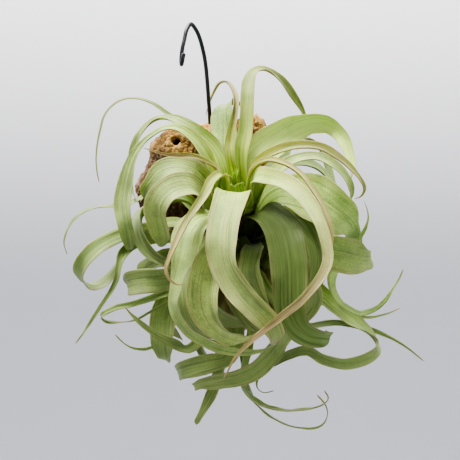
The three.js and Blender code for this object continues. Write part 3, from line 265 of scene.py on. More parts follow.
    [43.5,-5,-184.5], [52,-6,-184.5], [59,-6,-183.5], [64,-5,-181.5], [66,-4,-178.5], [64,-3,-175]]],
  ["leaf_low_right_whip", 95, 44, 20, 0, [[0,4], [0.35,4], [0.6,2.8], [0.85,1.6], [1,0.8]],
   [[23.5,29,-125], [24,27,-138], [25,21,-158], [27.5,16,-172.5], [31,12,-180.5], [36,8,-185.5],
    [42,6,-189.5], [49.5,4,-192.5], [56.5,3,-193], [62.5,3,-191.5], [65.5,3,-187], [65,4,-183],
    [60.5,5,-177]]],
]

# ---- Finer detail that only the looks have ----

CURVE_STEPS = 24  # from one point of a route to the next
BLADE_COLUMNS = 16  # across each face of a blade
BLADE_ROW = 1.3  # length of one row of a blade
FEWEST_ROWS = 16
FEWEST_FACETS = 5  # along a solid's blade
EVENING_ROUNDS = 12  # smooth the turns from one facet to the next
EDGE_THICKNESS_POWER = 4  # how far out a blade keeps its thickness before it thins to its edge
NARROW_THICKNESS = 0.35  # share of its thickness that a blade keeps where it has no width
NARROW_HALF = 3.0  # half a width that adds a whole share more, up to the full thickness
TIP_ROUNDING = 4.0  # length over which a blade's end closes to its point
TIP_LEAST = 0.02  # share of its width, squared, that the point keeps
FOLD_LIMITS = [0.05, 1.5]  # radians of the arc from a blade's middle to its edge
CLASP_FROM = 1.0  # a blade's base wraps round the stem from here
CLASP_LENGTH = 13.0  # to here along its length
CLASP_WIDTH = 0.62  # half its width there, as a share of the stem's radius
CLASP_FOLD = 0.9
PLEAT_HEIGHT = 0.4  # of the long soft ridges along a blade
PLEATS = 1.7
PLEAT_LENGTH = 60.0
PLEAT_HALF = 6.0  # half the width from which the pleats are at full height
PLEAT_EDGE_POWER = 6  # how near to the edge they reach
ROLL = 0.44  # how strongly a blade rolls from side to side as it goes along
ROLL_LENGTH = 22.0
ROLL_RISE = [0.05, 0.35]  # shares of the length between which the roll sets in
WAVE_LENGTH = 8.0
WAVE_RISE = [0.08, 0.3]
WAVE_EDGE_POWER = 2.5
SHADE_REACH = [9, 30]  # from the stem's axis, where the painted shade on the inner part of a low leaf ends
DEEP_REACH = [0.25, 0.75]  # shares of a deep leaf's length over which its painted shade fades as it comes to the light
INNER_SHADE_DOWN = [14, 26]  # distances down the stem between which leaves take on the painted shade of the plant's inside
# How far apart two leaves lie in the noise that waves, pleats, rolls and colours them
WAVE_SEED = 3.1
PLEAT_SEED = 7.3
ROLL_SEED = 1.7
STRIP_SEED = 13
OTHER_EDGE = 9.0  # keeps a blade's two edges from waving alike
ROLL_LAYER = 4.0  # keeps its roll from following its waves

STRIP = "blade"  # the map that lays a blade out flat, in millimetres across and along
BLADE_MARKS = ("side", "along", "under", "painted_shade", "lime", "dry", "pale", "blush")

# lime is young yellow-green, dry is browned towards the tip, pale is how much white bloom a leaf
# has, blush is its pinkish brown, wave is how high in mm its edges are waved, deep is how much
# painted shade darkens its base where it lies between the others, and youth is how far along a
# grown leaf's colours its own ones go.
Look = namedtuple("Look", "lime dry pale blush wave deep youth", defaults=(0.0, 1.0))
PLAIN_LOOK = Look(0, 0.1, 0.3, 0.12, 0.5)
LOOKS = {
    "leaf_back_broad": Look(0.45, 0, 0.9, 0, 0.3),
    "leaf_back_narrow": Look(0.8, 0.4, 0.2, 0.6, 0.1),
    "leaf_back_tall": Look(0.6, 0.1, 0.4, 0.35, 0.2),
    # Its bloom of 4.0 is partly painted light: pushed up to brighten a face that the lamps light little
    "leaf_right_broad": Look(0.8, 0, 4.0, 0.1, 0.4),
    "leaf_right_long": Look(0.7, 0.1, 0.3, 0.6, 0.2),
    "leaf_right_under": Look(0.5, 0, 0.8, 0.2, 0.2),
    "leaf_right_thin": Look(0.4, 0.3, 0.3, 0.8, 0.1),
    "leaf_right_wing": Look(0.3, 0, 0.8, 0.05, 0.5),
    "leaf_right_flag": Look(0, 0.1, 0.7, 0.1, 0.8),
    "leaf_front_sweep": Look(0.5, 1, 0.8, 0.35, 0.3),
    "leaf_front_right_inner": Look(0.1, 0, 0.1, 0.1, 0.4, deep=0.5),
    "leaf_front_right_broad": Look(0, 0, 0.05, 0.1, 0.5, deep=1),
    "leaf_front_centre": Look(0.45, 0, 0.55, 0.3, 0.5),
    "leaf_front_left_thin": Look(0.5, 0.5, 0.5, 0.7, 0.1),
    "leaf_front_left_broad": Look(0.15, 0, 0.6, 0.15, 0.5),
    "leaf_front_left_inner": Look(0.1, 0, 1.5, 0.25, 0.5),
    "leaf_left_arch": Look(0.7, 0.1, 0.5, 0.2, 0.2),
    "leaf_left_paddle": Look(0.5, 0, 0.5, 0.15, 0.3),
    "leaf_left_far_arc": Look(0.2, 0.3, 0.1, 0.2, 0.1),
    "leaf_left_dry": Look(0.3, 1, 0.2, 0.8, 0.1),
    "leaf_left_upper_broad": Look(0.3, 0, 0.8, 0.2, 0.4),
    "leaf_left_lower_broad": Look(0.4, 0, 0.7, 0.25, 0.4),
    "leaf_left_fold": Look(0.5, 0.1, 0.05, 0.1, 0.2),
}


# ---- Routes ----


def placed(point):
    """A point set out on the crown's plane moves out along its sight line as it goes back."""
    across, back, up = point
    spread = 1 + back / SIGHT_DISTANCE
    middle, level = SIGHT_CENTRE
    return Vector((middle + (across - middle) * spread, back, level + (up - level) * spread))


def smooth_share(value, low, high):
    share = min(1.0, max(0.0, (value - low) / (high - low)))
    return share * share * (3 - 2 * share)


def curve_through(points, steps):
    """A smooth path through the points, with centripetal spacing so that it never loops back."""
    points = [points[0] * 2 - points[1], *points, points[-1] * 2 - points[-2]]
    path = []
    for before, start, end, after in zip(points, points[1:], points[2:], points[3:]):
        gaps = [math.sqrt((b - a).length) for a, b in ((before, start), (start, end), (end, after))]
        leave = (start - before) / gaps[0] - (end - before) / (gaps[0] + gaps[1])
        leave = (leave + (end - start) / gaps[1]) * gaps[1]
        arrive = (end - start) / gaps[1] - (after - start) / (gaps[1] + gaps[2])
        arrive = (arrive + (after - end) / gaps[2]) * gaps[1]
        for step in range(steps):
            t = step / steps
            path.append(
                start + leave * t
                + (end * 3 - start * 3 - leave * 2 - arrive) * t**2
                + (start * 2 - end * 2 + leave + arrive) * t**3
            )
    return path + [points[-2]]


def spaced(path, rows):
    """rows + 1 points that lie evenly along the path, and its length."""
    reach = [0.0]
    for a, b in zip(path, path[1:]):
        reach.append(reach[-1] + (b - a).length)
    points = []
    span = 0
    for row in range(rows + 1):
        distance = reach[-1] * row / rows
        while span < len(path) - 2 and reach[span + 1] < distance:
            span += 1
        share = (distance - reach[span]) / (reach[span + 1] - reach[span])
        points.append(path[span].lerp(path[span + 1], share))
    return points, reach[-1]


def tangents_of(points):
    last = len(points) - 1
    return [
        (points[min(last, row + 1)] - points[max(0, row - 1)]).normalized()
        for row in range(len(points))
    ]


def on_plane(direction, normal):
    return (direction - normal * direction.dot(normal)).normalized()


def grid(bm, columns, rows):
    """Adds a grid to bm, and gives each vertex with its shares of the way across and along."""
    made = bmesh.ops.create_grid(bm, x_segments=columns, y_segments=rows, size=1)
    return [(vert, (vert.co.x + 1) / 2, (vert.co.y + 1) / 2) for vert in made["verts"]]


def rounded(share, least=0.0):
    """How wide a round end is, share of the way in from its tip, next to its full width."""
    return math.sqrt(max(least, 1 - (1 - share) ** 2))


# ---- Stem ----

RIGHT, BACK, UP = Vector((1, 0, 0)), Vector((0, 1, 0)), Vector((0, 0, 1))

stem_axis = (STEM_FOOT - STEM_TIP).normalized()
stem_length = (STEM_FOOT - STEM_TIP).length
stem_right = on_plane(RIGHT, stem_axis)
stem_back = stem_right.cross(stem_axis).normalized()


def stem_radius_at(down):
    foot = 1 - STEM_TAPER * smooth_share(down, STEM_WIDE_TO, stem_length)
    return STEM_RADIUS * foot * math.sqrt(min(1, TIP_SHARE + down / CROWN_LENGTH))


def outwards(turn):
    angle = math.radians(turn)
    return stem_right * math.cos(angle) + stem_back * math.sin(angle)


def on_stem(turn, down, gap):
    """The point at a turn round the stem and a distance down it, a gap off its skin."""
    out = outwards(turn) * (stem_radius_at(max(0.0, down)) + gap)
    return STEM_TIP + stem_axis * down + out


def on_axis(place):
    """The point of the stem's axis that is nearest to a place."""
    down = (place - STEM_TIP).dot(stem_axis)
    return STEM_TIP + stem_axis * min(stem_length, max(0.0, down))


# ---- Blades ----


def width_at(profile, share):
    for (low, start), (high, end) in zip(profile, profile[1:]):
        if share <= high:
            return start + (end - start) * smooth_share(share, low, high)
    return profile[-1][1]


def cross_directions(points, tangents, start, facing):
    """The blade's cross direction at every row: carried along from the root, and turned so that
    the blade bends over its flat side wherever its route curves."""
    step = (points[1] - points[0]).length
    last = len(points) - 1
    bends = []
    for row, tangent in enumerate(tangents):
        change = tangents[min(last, row + 1)] - tangents[max(0, row - 1)]
        bends.append(tangent.cross(change) * BEND_LENGTH / (2 * step))
    across = [on_plane(start, tangents[0])]
    for row in range(1, len(points)):
        across.append(on_plane(across[row - 1], tangents[row]))
    for _ in range(SETTLING_ROUNDS):
        for row in range(1, len(points)):
            side = math.copysign(1, bends[row].dot(across[row]))
            pull = bends[row] * side + tangents[row].cross(BACK) * facing
            total = across[row - 1] + across[min(last, row + 1)] + pull
            across[row] = on_plane(total, tangents[row])
    return across


def between(rows, share):
    """The value that lies share of the way along a list of directions."""
    place = share * (len(rows) - 1)
    low = min(len(rows) - 2, int(place))
    return rows[low].lerp(rows[low + 1], place - low)


def evened(directions, rounds):
    for _ in range(rounds):
        inner = [
            (a + b * 2 + c).normalized()
            for a, b, c in zip(directions, directions[1:], directions[2:])
        ]
        directions = [directions[0], *inner, directions[-1]]
    return directions


def blade_rows(start, facing, route):
    """Places, cross directions and upward directions along a blade, and its length."""
    path = curve_through(route, CURVE_STEPS)
    length = spaced(path, 1)[1]
    coarse, _ = spaced(path, max(FEWEST_FACETS, round(length / BLADE_STEP)))
    coarse_across = cross_directions(coarse, tangents_of(coarse), start, facing)
    rows = max(FEWEST_ROWS, round(length / BLADE_ROW))
    points, _ = spaced(path, rows)
    tangents = tangents_of(points)
    across = [between(coarse_across, row / rows) for row in range(rows + 1)]
    across = [on_plane(a, t) for a, t in zip(evened(across, EVENING_ROUNDS), tangents)]
    up = [-a.cross(t) for a, t in zip(across, tangents)]
    return points, across, up, length


def blade_bmesh():
    bm = bmesh.new()
    for name in BLADE_MARKS:
        bm.verts.layers.float.new(name)
    bm.loops.layers.uv.new(STRIP)
    return bm


def add_blade(bm, turn, channel, facing, profile, route, look, seed, clasp=0.0, painted_shade=0.0):
    """Draws one leaf into bm: a closed blade with a rounded channel, soft pleats, thin waved
    edges and a pointed end. Its vertices keep where they are on the leaf, for its material."""
    points, across, up, length = blade_rows(outwards(turn).cross(stem_axis), facing, route)
    rows = len(points) - 1
    marks = {name: bm.verts.layers.float[name] for name in BLADE_MARKS}
    strip = bm.loops.layers.uv[STRIP]
    for vert, round_share, share in grid(bm, 2 * BLADE_COLUMNS, rows):
        row = round(share * rows)
        upper = round_share < 0.5
        side = 4 * round_share - 1 if upper else 3 - 4 * round_share
        side = math.sin(side * math.pi / 2)
        share = row / rows
        reach = share * length
        wrap = (1 - smooth_share(reach, CLASP_FROM, CLASP_LENGTH)) if clasp else 0.0
        half = width_at(profile, share) / 2
        half = max(half, half + (clasp - half) * wrap)
        half *= rounded(min(1.0, (length - reach) / TIP_ROUNDING), TIP_LEAST)
        fold = 2 * math.sin(math.radians(channel)) * smooth_share(share, 0, FLAT_BASE_SHARE)
        flattest, roundest = FOLD_LIMITS
        fold = max(flattest, min(roundest, fold * (1 - wrap) + CLASP_FOLD * wrap))
        out = half * math.sin(fold * side) / fold
        rise = half * (1 - math.cos(fold * side)) / fold

        layer = OTHER_EDGE if side > 0 else 0.0
        edge = noise.noise(Vector((reach / WAVE_LENGTH, seed * WAVE_SEED, layer)))
        wave = look.wave * 2 * edge * abs(side) ** WAVE_EDGE_POWER * smooth_share(share, *WAVE_RISE)
        pleat = Vector((side * PLEATS + seed * PLEAT_SEED, reach / PLEAT_LENGTH, seed))
        pleat = noise.noise(pleat)
        pleat *= PLEAT_HEIGHT * min(1.0, half / PLEAT_HALF) * (1 - side**PLEAT_EDGE_POWER)
        body = BLADE_THICKNESS / 2 * math.sqrt(max(0.0, 1 - abs(side) ** EDGE_THICKNESS_POWER))
        body *= min(1.0, NARROW_THICKNESS + half / NARROW_HALF)
        offset = rise + wave + pleat + (body if upper else -body)
        roll = ROLL * noise.noise(Vector((reach / ROLL_LENGTH, seed * ROLL_SEED, ROLL_LAYER)))
        roll *= smooth_share(share, *ROLL_RISE)
        right = across[row] * math.cos(roll) + up[row] * math.sin(roll)
        above = up[row] * math.cos(roll) - across[row] * math.sin(roll)
        place = points[row] + right * out + above * offset
        vert.co = place * MM

        # Painted shade: low leaves darken near the stem's axis, and deep leaves towards their base
        shaded = painted_shade * (1 - smooth_share((place - on_axis(place)).length, *SHADE_REACH))
        deep = look.deep * (1 - smooth_share(share, *DEEP_REACH))
        vert[marks["side"]] = side
        vert[marks["along"]] = share * look.youth
        vert[marks["under"]] = 0 if upper else 1
        vert[marks["painted_shade"]] = max(shaded, deep)
        for name in ("lime", "dry", "pale", "blush"):
            vert[marks[name]] = getattr(look, name)
        for loop in vert.link_loops:
            loop[strip].uv = (side * half + seed * STRIP_SEED, reach)


# ---- Pieces ----

SEAM = 1e-7  # in metres: points nearer than this are one


def linked(name, data):
    """An object of the given data, in the scene."""
    made = bpy.data.objects.new(name, data)
    bpy.context.scene.collection.objects.link(made)
    return made


def smooth_object(name, bm, material):
    mesh = bpy.data.meshes.new(name)
    for face in bm.faces:
        face.smooth = True
    bm.to_mesh(mesh)
    bm.free()
    mesh.materials.append(material)
    return linked(name, mesh)


def finish_piece(name, bm, material, node):
    """Joins the seams of what was drawn, caps its open ends, turns its faces outwards and makes
    a piece of it, which rides on the part and stands for the named node."""
    bmesh.ops.remove_doubles(bm, verts=bm.verts, dist=SEAM)
    bmesh.ops.holes_fill(bm, edges=[edge for edge in bm.edges if edge.is_boundary], sides=0)
    bmesh.ops.recalc_face_normals(bm, faces=bm.faces)
    piece = smooth_object(name, bm, material)
    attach(piece, BODY)
    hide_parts(node)


LEAF_SEED = 1.7


def make_leaf(order, row, look, material):
    name, turn, down, channel, facing, profile, route = row
    points = [on_stem(turn, down, CLEAR + BLADE_THICKNESS / 2), *[placed(point) for point in route]]
    clasp = CLASP_WIDTH * stem_radius_at(down)
    painted_shade = smooth_share(down, *INNER_SHADE_DOWN)
    bm = blade_bmesh()
    add_blade(bm, turn, channel, facing, profile, points, look, order * LEAF_SEED, clasp, painted_shade)
    finish_piece(f"{name}_blade", bm, material, name)


# Heart leaves: small young blades turned round the stem's tip
HEART_LEAVES = 5
HEART_TURN = 137.5  # degrees from one to the next
HEART_HEIGHT = 9.0
HEART_SHORTER = 0.8  # each further one is this much shorter
HEART_SPREAD = 0.9
HEART_WIDER = 0.3  # and leans out this much further
HEART_SUNK = 4.0  # how deep its root sits in the stem
HEART_PATH = [[0.3, 0.6], [0.7, 1.1], [1, 1.9]]  # shares of its height and spread
HEART_PROFILE = [[0, 3.4], [0.4, 3.2], [0.8, 2], [1, 0.8]]
HEART_CHANNEL = 35
HEART_LOOK = Look(lime=1, dry=0, pale=0, blush=0, wave=0, youth=0.25)
HEART_SEED = 1.3
# Sheaths wrap the stem's tip and open like a bowl: turn, width, how far up the lip is raised
SHEATHS = [[232, 11, 7.0], [308, 11, 7.0], [200, 11, 1.0], [20, 10, 1.0], [135, 10, 1.0],
           [78, 9, 1.0]]
# Down the stem, off its skin, share of the raise
SHEATH_STEPS = [[12, 0.5, 0], [8, 0.8, 0.2], [6, 1.5, 0.6], [5, 2.2, 0.85], [4.2, 3.2, 1]]
SHEATH_PROFILE = [[0, 1], [0.55, 1], [0.85, 0.75], [1, 0.3]]  # shares of its width
SHEATH_CHANNEL = 42
SHEATH_SEEDS = [20, 2.3]  # the first one's, and from one to the next

# Old leaves: dry stubs round the lower stem
OLD_LEAVES = 20
OLD_FIRST_TURN = 3
OLD_FIRST_DOWN = 20.0
OLD_STEP = 1.25  # further down the stem from one to the next
OLD_SUNK = 1.0
OLD_PATH = [[4, 0.5], [8, 4], [11, 10], [12.5, 18], [12, 25]]  # out from the stem, down
OLD_PROFILE = [[0, 5], [0.4, 12.5], [0.75, 11], [1, 3]]
OLD_CHANNEL = 25
OLD_FACING = 0.3
OLD_LOOK = Look(lime=0, dry=0.6, pale=0, blush=0.2, wave=0.9)
OLD_SEED = 40


def make_heart(material):
    """Young leaves at the stem's tip, and the sheaths of the leaves below them."""
    bm = blade_bmesh()
    for order in range(HEART_LEAVES):
        turn = order * HEART_TURN
        height = HEART_HEIGHT - order * HEART_SHORTER
        spread = HEART_SPREAD + order * HEART_WIDER
        route = [STEM_TIP + stem_axis * HEART_SUNK]
        for rise, lean in HEART_PATH:
            route.append(STEM_TIP - stem_axis * rise * height + outwards(turn) * lean * spread)
        seed = order * HEART_SEED
        add_blade(bm, turn, HEART_CHANNEL, 0, HEART_PROFILE, route, HEART_LOOK, seed)
    for order, (turn, width, lip) in enumerate(SHEATHS):
        route = [on_stem(turn, down - lip * share, gap) for down, gap, share in SHEATH_STEPS]
        profile = [[share, width * part] for share, part in SHEATH_PROFILE]
        seed = SHEATH_SEEDS[0] + order * SHEATH_SEEDS[1]
        add_blade(bm, turn, SHEATH_CHANNEL, 0, profile, route, HEART_LOOK, seed, width / 2)
    finish_piece("heart_leaves", bm, material, "stem")


def make_old_leaves(material):
    """Dry stubs of old leaves that still clasp the lower stem, behind the live ones, darkened near the
    stem by painted shade.
    """
    bm = blade_bmesh()
    for order in range(OLD_LEAVES):
        turn = OLD_FIRST_TURN + order * HEART_TURN
        root = on_stem(turn, OLD_FIRST_DOWN + order * OLD_STEP, -OLD_SUNK)
        route = [root, *[root + outwards(turn) * reach - UP * drop for reach, drop in OLD_PATH]]
        seed = OLD_SEED + order
        add_blade(bm, turn, OLD_CHANNEL, OLD_FACING, OLD_PROFILE, route, OLD_LOOK, seed, painted_shade=1.0)
    finish_piece("old_leaf_stubs", bm, material, "stem")


STEM_SIDES = 48
STEM_ROWS = 90
STEM_END_ROUNDING = 1.5
SCAR_HEIGHT = 0.015  # share of the radius
SCAR_RATE = 2.6  # radians of a ripple in a millimetre down the stem
SCAR_SWAY = 0.8  # radians that a scar's ring sways by, twice on its way round


def make_stem(material):
    """The stem as a turned body, with the scars of old leaves round it."""
    bm = bmesh.new()
    lift = UP.rotation_difference(-stem_axis).to_matrix()
    for vert, round_share, share in grid(bm, STEM_SIDES, STEM_ROWS):
        turn = round_share * 2 * math.pi
        down = stem_length * share
        from_end = min(down, stem_length - down)
        radius = stem_radius_at(down) * rounded(min(1.0, from_end / STEM_END_ROUNDING))
        radius *= 1 + SCAR_HEIGHT * math.sin(down * SCAR_RATE + math.sin(turn * 2) * SCAR_SWAY)
        vert.co = lift @ Vector((radius * math.cos(turn), radius * math.sin(turn), -down))
        vert.co = (vert.co + STEM_TIP) * MM
    finish_piece("stem_body", bm, material, "stem")


WIRE_SIDES = 20
WIRE_ROW = 0.6
WIRE_END_ROUNDING = 0.5
WIRE_END_LEAST = 0.05  # share of its width, squared, that the wire's cut end keeps


def make_wire(material):
    bm = bmesh.new()
    path = curve_through([placed(point) for point in WIRE_ROUTE], CURVE_STEPS)
    rows = round(spaced(path, 1)[1] / WIRE_ROW)
    points, _ = spaced(path, rows)
    tangents = tangents_of(points)
    across = [on_plane(RIGHT, tangents[0])]
    for tangent in tangents[1:]:
        across.append(on_plane(across[-1], tangent))
    for vert, round_share, share in grid(bm, WIRE_SIDES, rows):
        row = round(share * rows)
        turn = round_share * 2 * math.pi
        end = min(1.0, min(row, rows - row) * WIRE_ROW / WIRE_END_ROUNDING)
        side = across[row] * math.cos(turn) + across[row].cross(tangents[row]) * math.sin(turn)
        vert.co = (points[row] + side * (WIRE_DIAMETER / 2 * rounded(end, WIRE_END_LEAST))) * MM
    finish_piece("hanger_wire_bend", bm, material, "hanger_wire")


# ---- Cork chunk ----

CORK_COLUMNS = 300
CORK_ROWS = 170
RIM_STEPS = 12  # from one point of the outline to the next
RIM_LEAN = 3  # how near to the rim the skin still faces forwards or backwards
# Beetle holes and cracks in the cork's face: [across, up, radius, depth]
CORK_PITS = [
    [-7.4, -55, 2.0, 5.0], [7, -51.5, 1.1, 3.0], [-15, -60, 1.0, 1.5], [-11, -62.5, 0.8, 1.2],
    [2, -57, 0.9, 1.4], [-20.5, -72, 1.2, 1.6], [-22, -77, 1.3, 1.6], [28, -47.5, 0.7, 1.0],
]
PIT_FLOOR = 0.55  # shares of its radius where a pit's floor ends
PIT_RIM = 1.25  # and where its rim does
PIT_DEEPER = 0.3  # a step back counts for this much of one to the side
PIT_SHADE_DEPTH = 2.0  # a pit's painted shade is at its darkest from this depth
BARK_LUMP_SIZE = 12.0
BARK_LUMP_HEIGHT = 2.4
BARK_GRAIN_SIZE = 3.1
BARK_GRAIN_HEIGHT = 0.9
BARK_GRAIN_TALL = 0.6  # a step up counts for this much of one to the side
BARK_GRAIN_STEEP = 2.2
BARK_GRAIN_LEVEL = 0.6  # share of a grain that lies under the smooth skin
BARK_CRUMB_SIZE = 1.0
BARK_CRUMB_HEIGHT = 0.7
BARK_LAYER = 4.2  # from one ring of growth to the next, back to front
BARK_LAYER_HEIGHT = 0.5
LAYER_WANDER = 2.0  # how far the rings wander off straight lines
LAYER_WANDER_SIZE = 9.0
OUTER_BARK = 9.0  # thickness of the outer bark on the back
FISSURE_SIZE = 15.0  # between its deep cracks
FISSURE_DEPTH = 3.0
FISSURE_WIDTH = 0.24
FISSURE_SHAPE = [0.3, 0.45]  # a step back and one up count for this much of one to the side
LOW_SHADE_LEVEL = 0.45  # share of the painted shade in the skin's low places where the skin neither rises nor dips
LOW_SHADE_FADE = 1.6  # a rise of this much takes a whole share off


def bark_height(place):
    """How far the cork's skin stands out at a place: lumps, cells that leave cracks between
    them, crumbs, rings of growth, and the fissures of the outer bark."""
    lumps = noise.noise(place / BARK_LUMP_SIZE) * BARK_LUMP_HEIGHT
    stretched = Vector((place.x, place.y, place.z * BARK_GRAIN_TALL))
    cells = noise.voronoi(stretched / BARK_GRAIN_SIZE)[0]
    grain = min(1.0, (cells[1] - cells[0]) * BARK_GRAIN_STEEP) - BARK_GRAIN_LEVEL
    grain *= BARK_GRAIN_HEIGHT
    crumbs = noise.noise(place / BARK_CRUMB_SIZE) * BARK_CRUMB_HEIGHT
    wander = noise.noise(place / LAYER_WANDER_SIZE) * LAYER_WANDER
    layers = math.sin((place.y + wander) * 2 * math.pi / BARK_LAYER) * BARK_LAYER_HEIGHT
    deeper, taller = FISSURE_SHAPE
    tall = Vector((place.x + wander, place.y * deeper, place.z * taller + wander))
    plates = noise.voronoi(tall / FISSURE_SIZE)[0]
    crack = 1 - smooth_share(plates[1] - plates[0], 0, FISSURE_WIDTH)
    outer = smooth_share(place.y, CORK_BACK - OUTER_BARK, CORK_BACK)
    return lumps + grain + crumbs + layers - crack * outer * FISSURE_DEPTH


def make_cork(material):
    bm = bmesh.new()
    pit_shade_mark = bm.verts.layers.float.new("pit")
    low_shade_mark = bm.verts.layers.float.new("crack")
    edge = [Vector((across, 0, up)) for across, up in CORK_OUTLINE]
    ring = curve_through(edge[-2:] + edge + edge[:2], RIM_STEPS)
    ring = ring[2 * RIM_STEPS : (2 + len(edge)) * RIM_STEPS + 1]
    rim, _ = spaced(ring, CORK_COLUMNS)
    middle = Vector((CORK_MIDDLE[0], 0, CORK_MIDDLE[1]))
    pits = [(placed([a, CORK_FRONT, u]), r, d) for a, u, r, d in CORK_PITS]
    for vert, round_share, share in grid(bm, CORK_COLUMNS, CORK_ROWS):
        column = round(round_share * CORK_COLUMNS)
        turn = share * math.pi
        reach = max(0.0, math.sin(turn)) ** CORK_CORNERS
        depth = math.copysign(abs(math.cos(turn)) ** CORK_CORNERS, math.cos(turn))
        spoke = rim[column % CORK_COLUMNS] - middle
        place = middle + spoke * reach
        back = (CORK_FRONT + CORK_BACK) / 2 - depth * (CORK_BACK - CORK_FRONT) / 2
        place = placed([place.x, back, place.z])
        outward = spoke.normalized() * reach**RIM_LEAN
        outward = (outward + Vector((0, -depth * abs(depth), 0))).normalized()
        height = bark_height(place)
        sunk = 0.0
        for pit, radius, deep in pits:
            flat = Vector((place.x - pit.x, (place.y - pit.y) * PIT_DEEPER, place.z - pit.z)).length
            rim_share = smooth_share(flat, radius * PIT_FLOOR, radius * PIT_RIM)
            sunk = max(sunk, deep * (1 - rim_share))
        vert.co = (place + outward * (height - sunk)) * MM
        # Painted shade: each pit is painted darker the deeper it is
        vert[pit_shade_mark] = min(1.0, sunk / PIT_SHADE_DEPTH)
        # Painted shade: the skin is painted darker the lower it lies, in its cracks and hollows
        vert[low_shade_mark] = max(0.0, min(1.0, LOW_SHADE_LEVEL - height / LOW_SHADE_FADE))
    finish_piece("cork_bark", bm, material, "cork_chunk")


GLUE_SIDES = 48
GLUE_RINGS = 32
GLUE_LUMP = 0.08  # share of its size
GLUE_LUMPS = 5  # lumps along it


def make_glue(material):
    bm = bmesh.new()
    made = bmesh.ops.create_uvsphere(bm, u_segments=GLUE_SIDES, v_segments=GLUE_RINGS, radius=0.5)
    for vert in made["verts"]:
        size = Vector(GLUE_SIZE) * (1 + GLUE_LUMP * noise.noise(vert.co * GLUE_LUMPS))
        vert.co = (vert.co * size + Vector(GLUE_CENTRE)) * MM
    finish_piece("glue_blob", bm, material, "glue_bead")


# ---- Materials ----

# Colours as they look on a screen, 0 to 255; a pair is what a pattern goes between
RIB_GREENS = (86, 113, 54), (105, 135, 70)
THREAD_GREEN = (146, 170, 104)
YOUNG_GREENS = (136, 178, 20), (196, 220, 72)
BLOOM_GREEN = (202, 230, 124)
UNDERSIDE_SHADE_GREEN = (62, 94, 36)
BLUSH_TAN = (190, 160, 96)
MARGIN_PINK = (172, 132, 112)
CREASE_GREEN = (62, 84, 34)
DRY_BROWNS = (142, 106, 74), (178, 146, 108)
TIP_BROWN = (142, 112, 82)
SHADED_GREEN = (34, 44, 12)
STEM_GREENS = (78, 108, 14), (118, 148, 30)
STEM_BROWNS = (44, 34, 20), (84, 66, 38)
CORK_TANS = (206, 146, 66), (244, 200, 122)
CORK_PALE = (246, 212, 150)
BARK_GREYS = (120, 98, 74), (190, 166, 132)
BARK_SPECK = (48, 34, 24)
CORK_SHADE_BROWNS = (44, 34, 24), (84, 66, 44)
LOW_SHADE_BROWN = (98, 72, 44)
PIT_SHADE_BROWN = (20, 12, 8)
WIRE_BLACKS = (16, 16, 18), (38, 38, 41)
GLUE_TANS = (150, 124, 84), (196, 176, 136)
PAPER_GREYS = (150, 151, 156), (255, 255, 255)

# The leaf's patterns: how often each changes in a millimetre, across the blade and along it
RIBS = (0.8, 0.016, 1)
THREADS = (2.6, 0.05, 1)
CREASES = (0.3, 0.007, 1)
CREASE_WIDTH = 0.03
# and how often the others change in a metre
LEAF_CLOUDS, LEAF_GRAINS = 110.0, 2600.0
STEM_CLOUDS, WIRE_WEAR, GLUE_CLOUDS = 400.0, 1500.0, 300.0
CORK_BROAD, CORK_FINE, CORK_STRANDS, CORK_SPECKS = 70.0, 1100.0, 500.0, 700.0
STRAND_SHAPE = (1, 1, 0.35)

# How strongly each of the leaf's colours shows
THREAD_SHOWS = 0.28
BLOOM_SHOWS = 0.9
UNDERSIDE_SHADE_SHOWS = 0.6
CREASE_SHOWS = 0.4
TIP_SHOWS = 0.7
SHADE_SHOWS = 0.85
YOUNG_LEAST = 0.35  # of a leaf with no lime of its own
MARGIN_LEAST = 0.32  # and with no blush of its own

# Shares of the length between which each comes or goes; the margin's are of half the width
YOUNG_END = 0.02, 0.55
BLOOM_FADE = 0.25, 0.75, 1.1, 0.7
BLUSH_START = 0.02, 0.25
MARGIN_START = 0.62, 1.0
DRY_START = 0.3, 0.95
TIP_START = 0.93, 1.0

# Where the looks of the other pieces change, in metres as the scene has them
STEM_OLD = -0.092, -0.08  # old skin below this
BARK_ACROSS = -0.012, 0.0  # grey bark to the left of this
BARK_UP = -0.056, -0.047  # and below this,
BARK_BACK = 0.030, 0.038  # and anywhere behind this
BARK_WANDER = [0.012, 0.014]  # how far the first two stray
CORK_SHADE_BELOW = -0.088, -0.074  # painted shade: darker below this, where the plant hangs over it
# the paper goes from grey at the first height to white at the second: painted shade low down, painted
# light up the wall
PAPER_PAINTED_LIGHT = -0.22, 0.40


def colour(red, green, blue):
    """A colour given as it looks on a screen, 0 to 255, for a socket that takes linear light."""
    linear = []
    for value in (red / 255, green / 255, blue / 255):
        linear.append(value / 12.92 if value <= 0.04045 else ((value + 0.055) / 1.055) ** 2.4)
    return (*linear, 1)


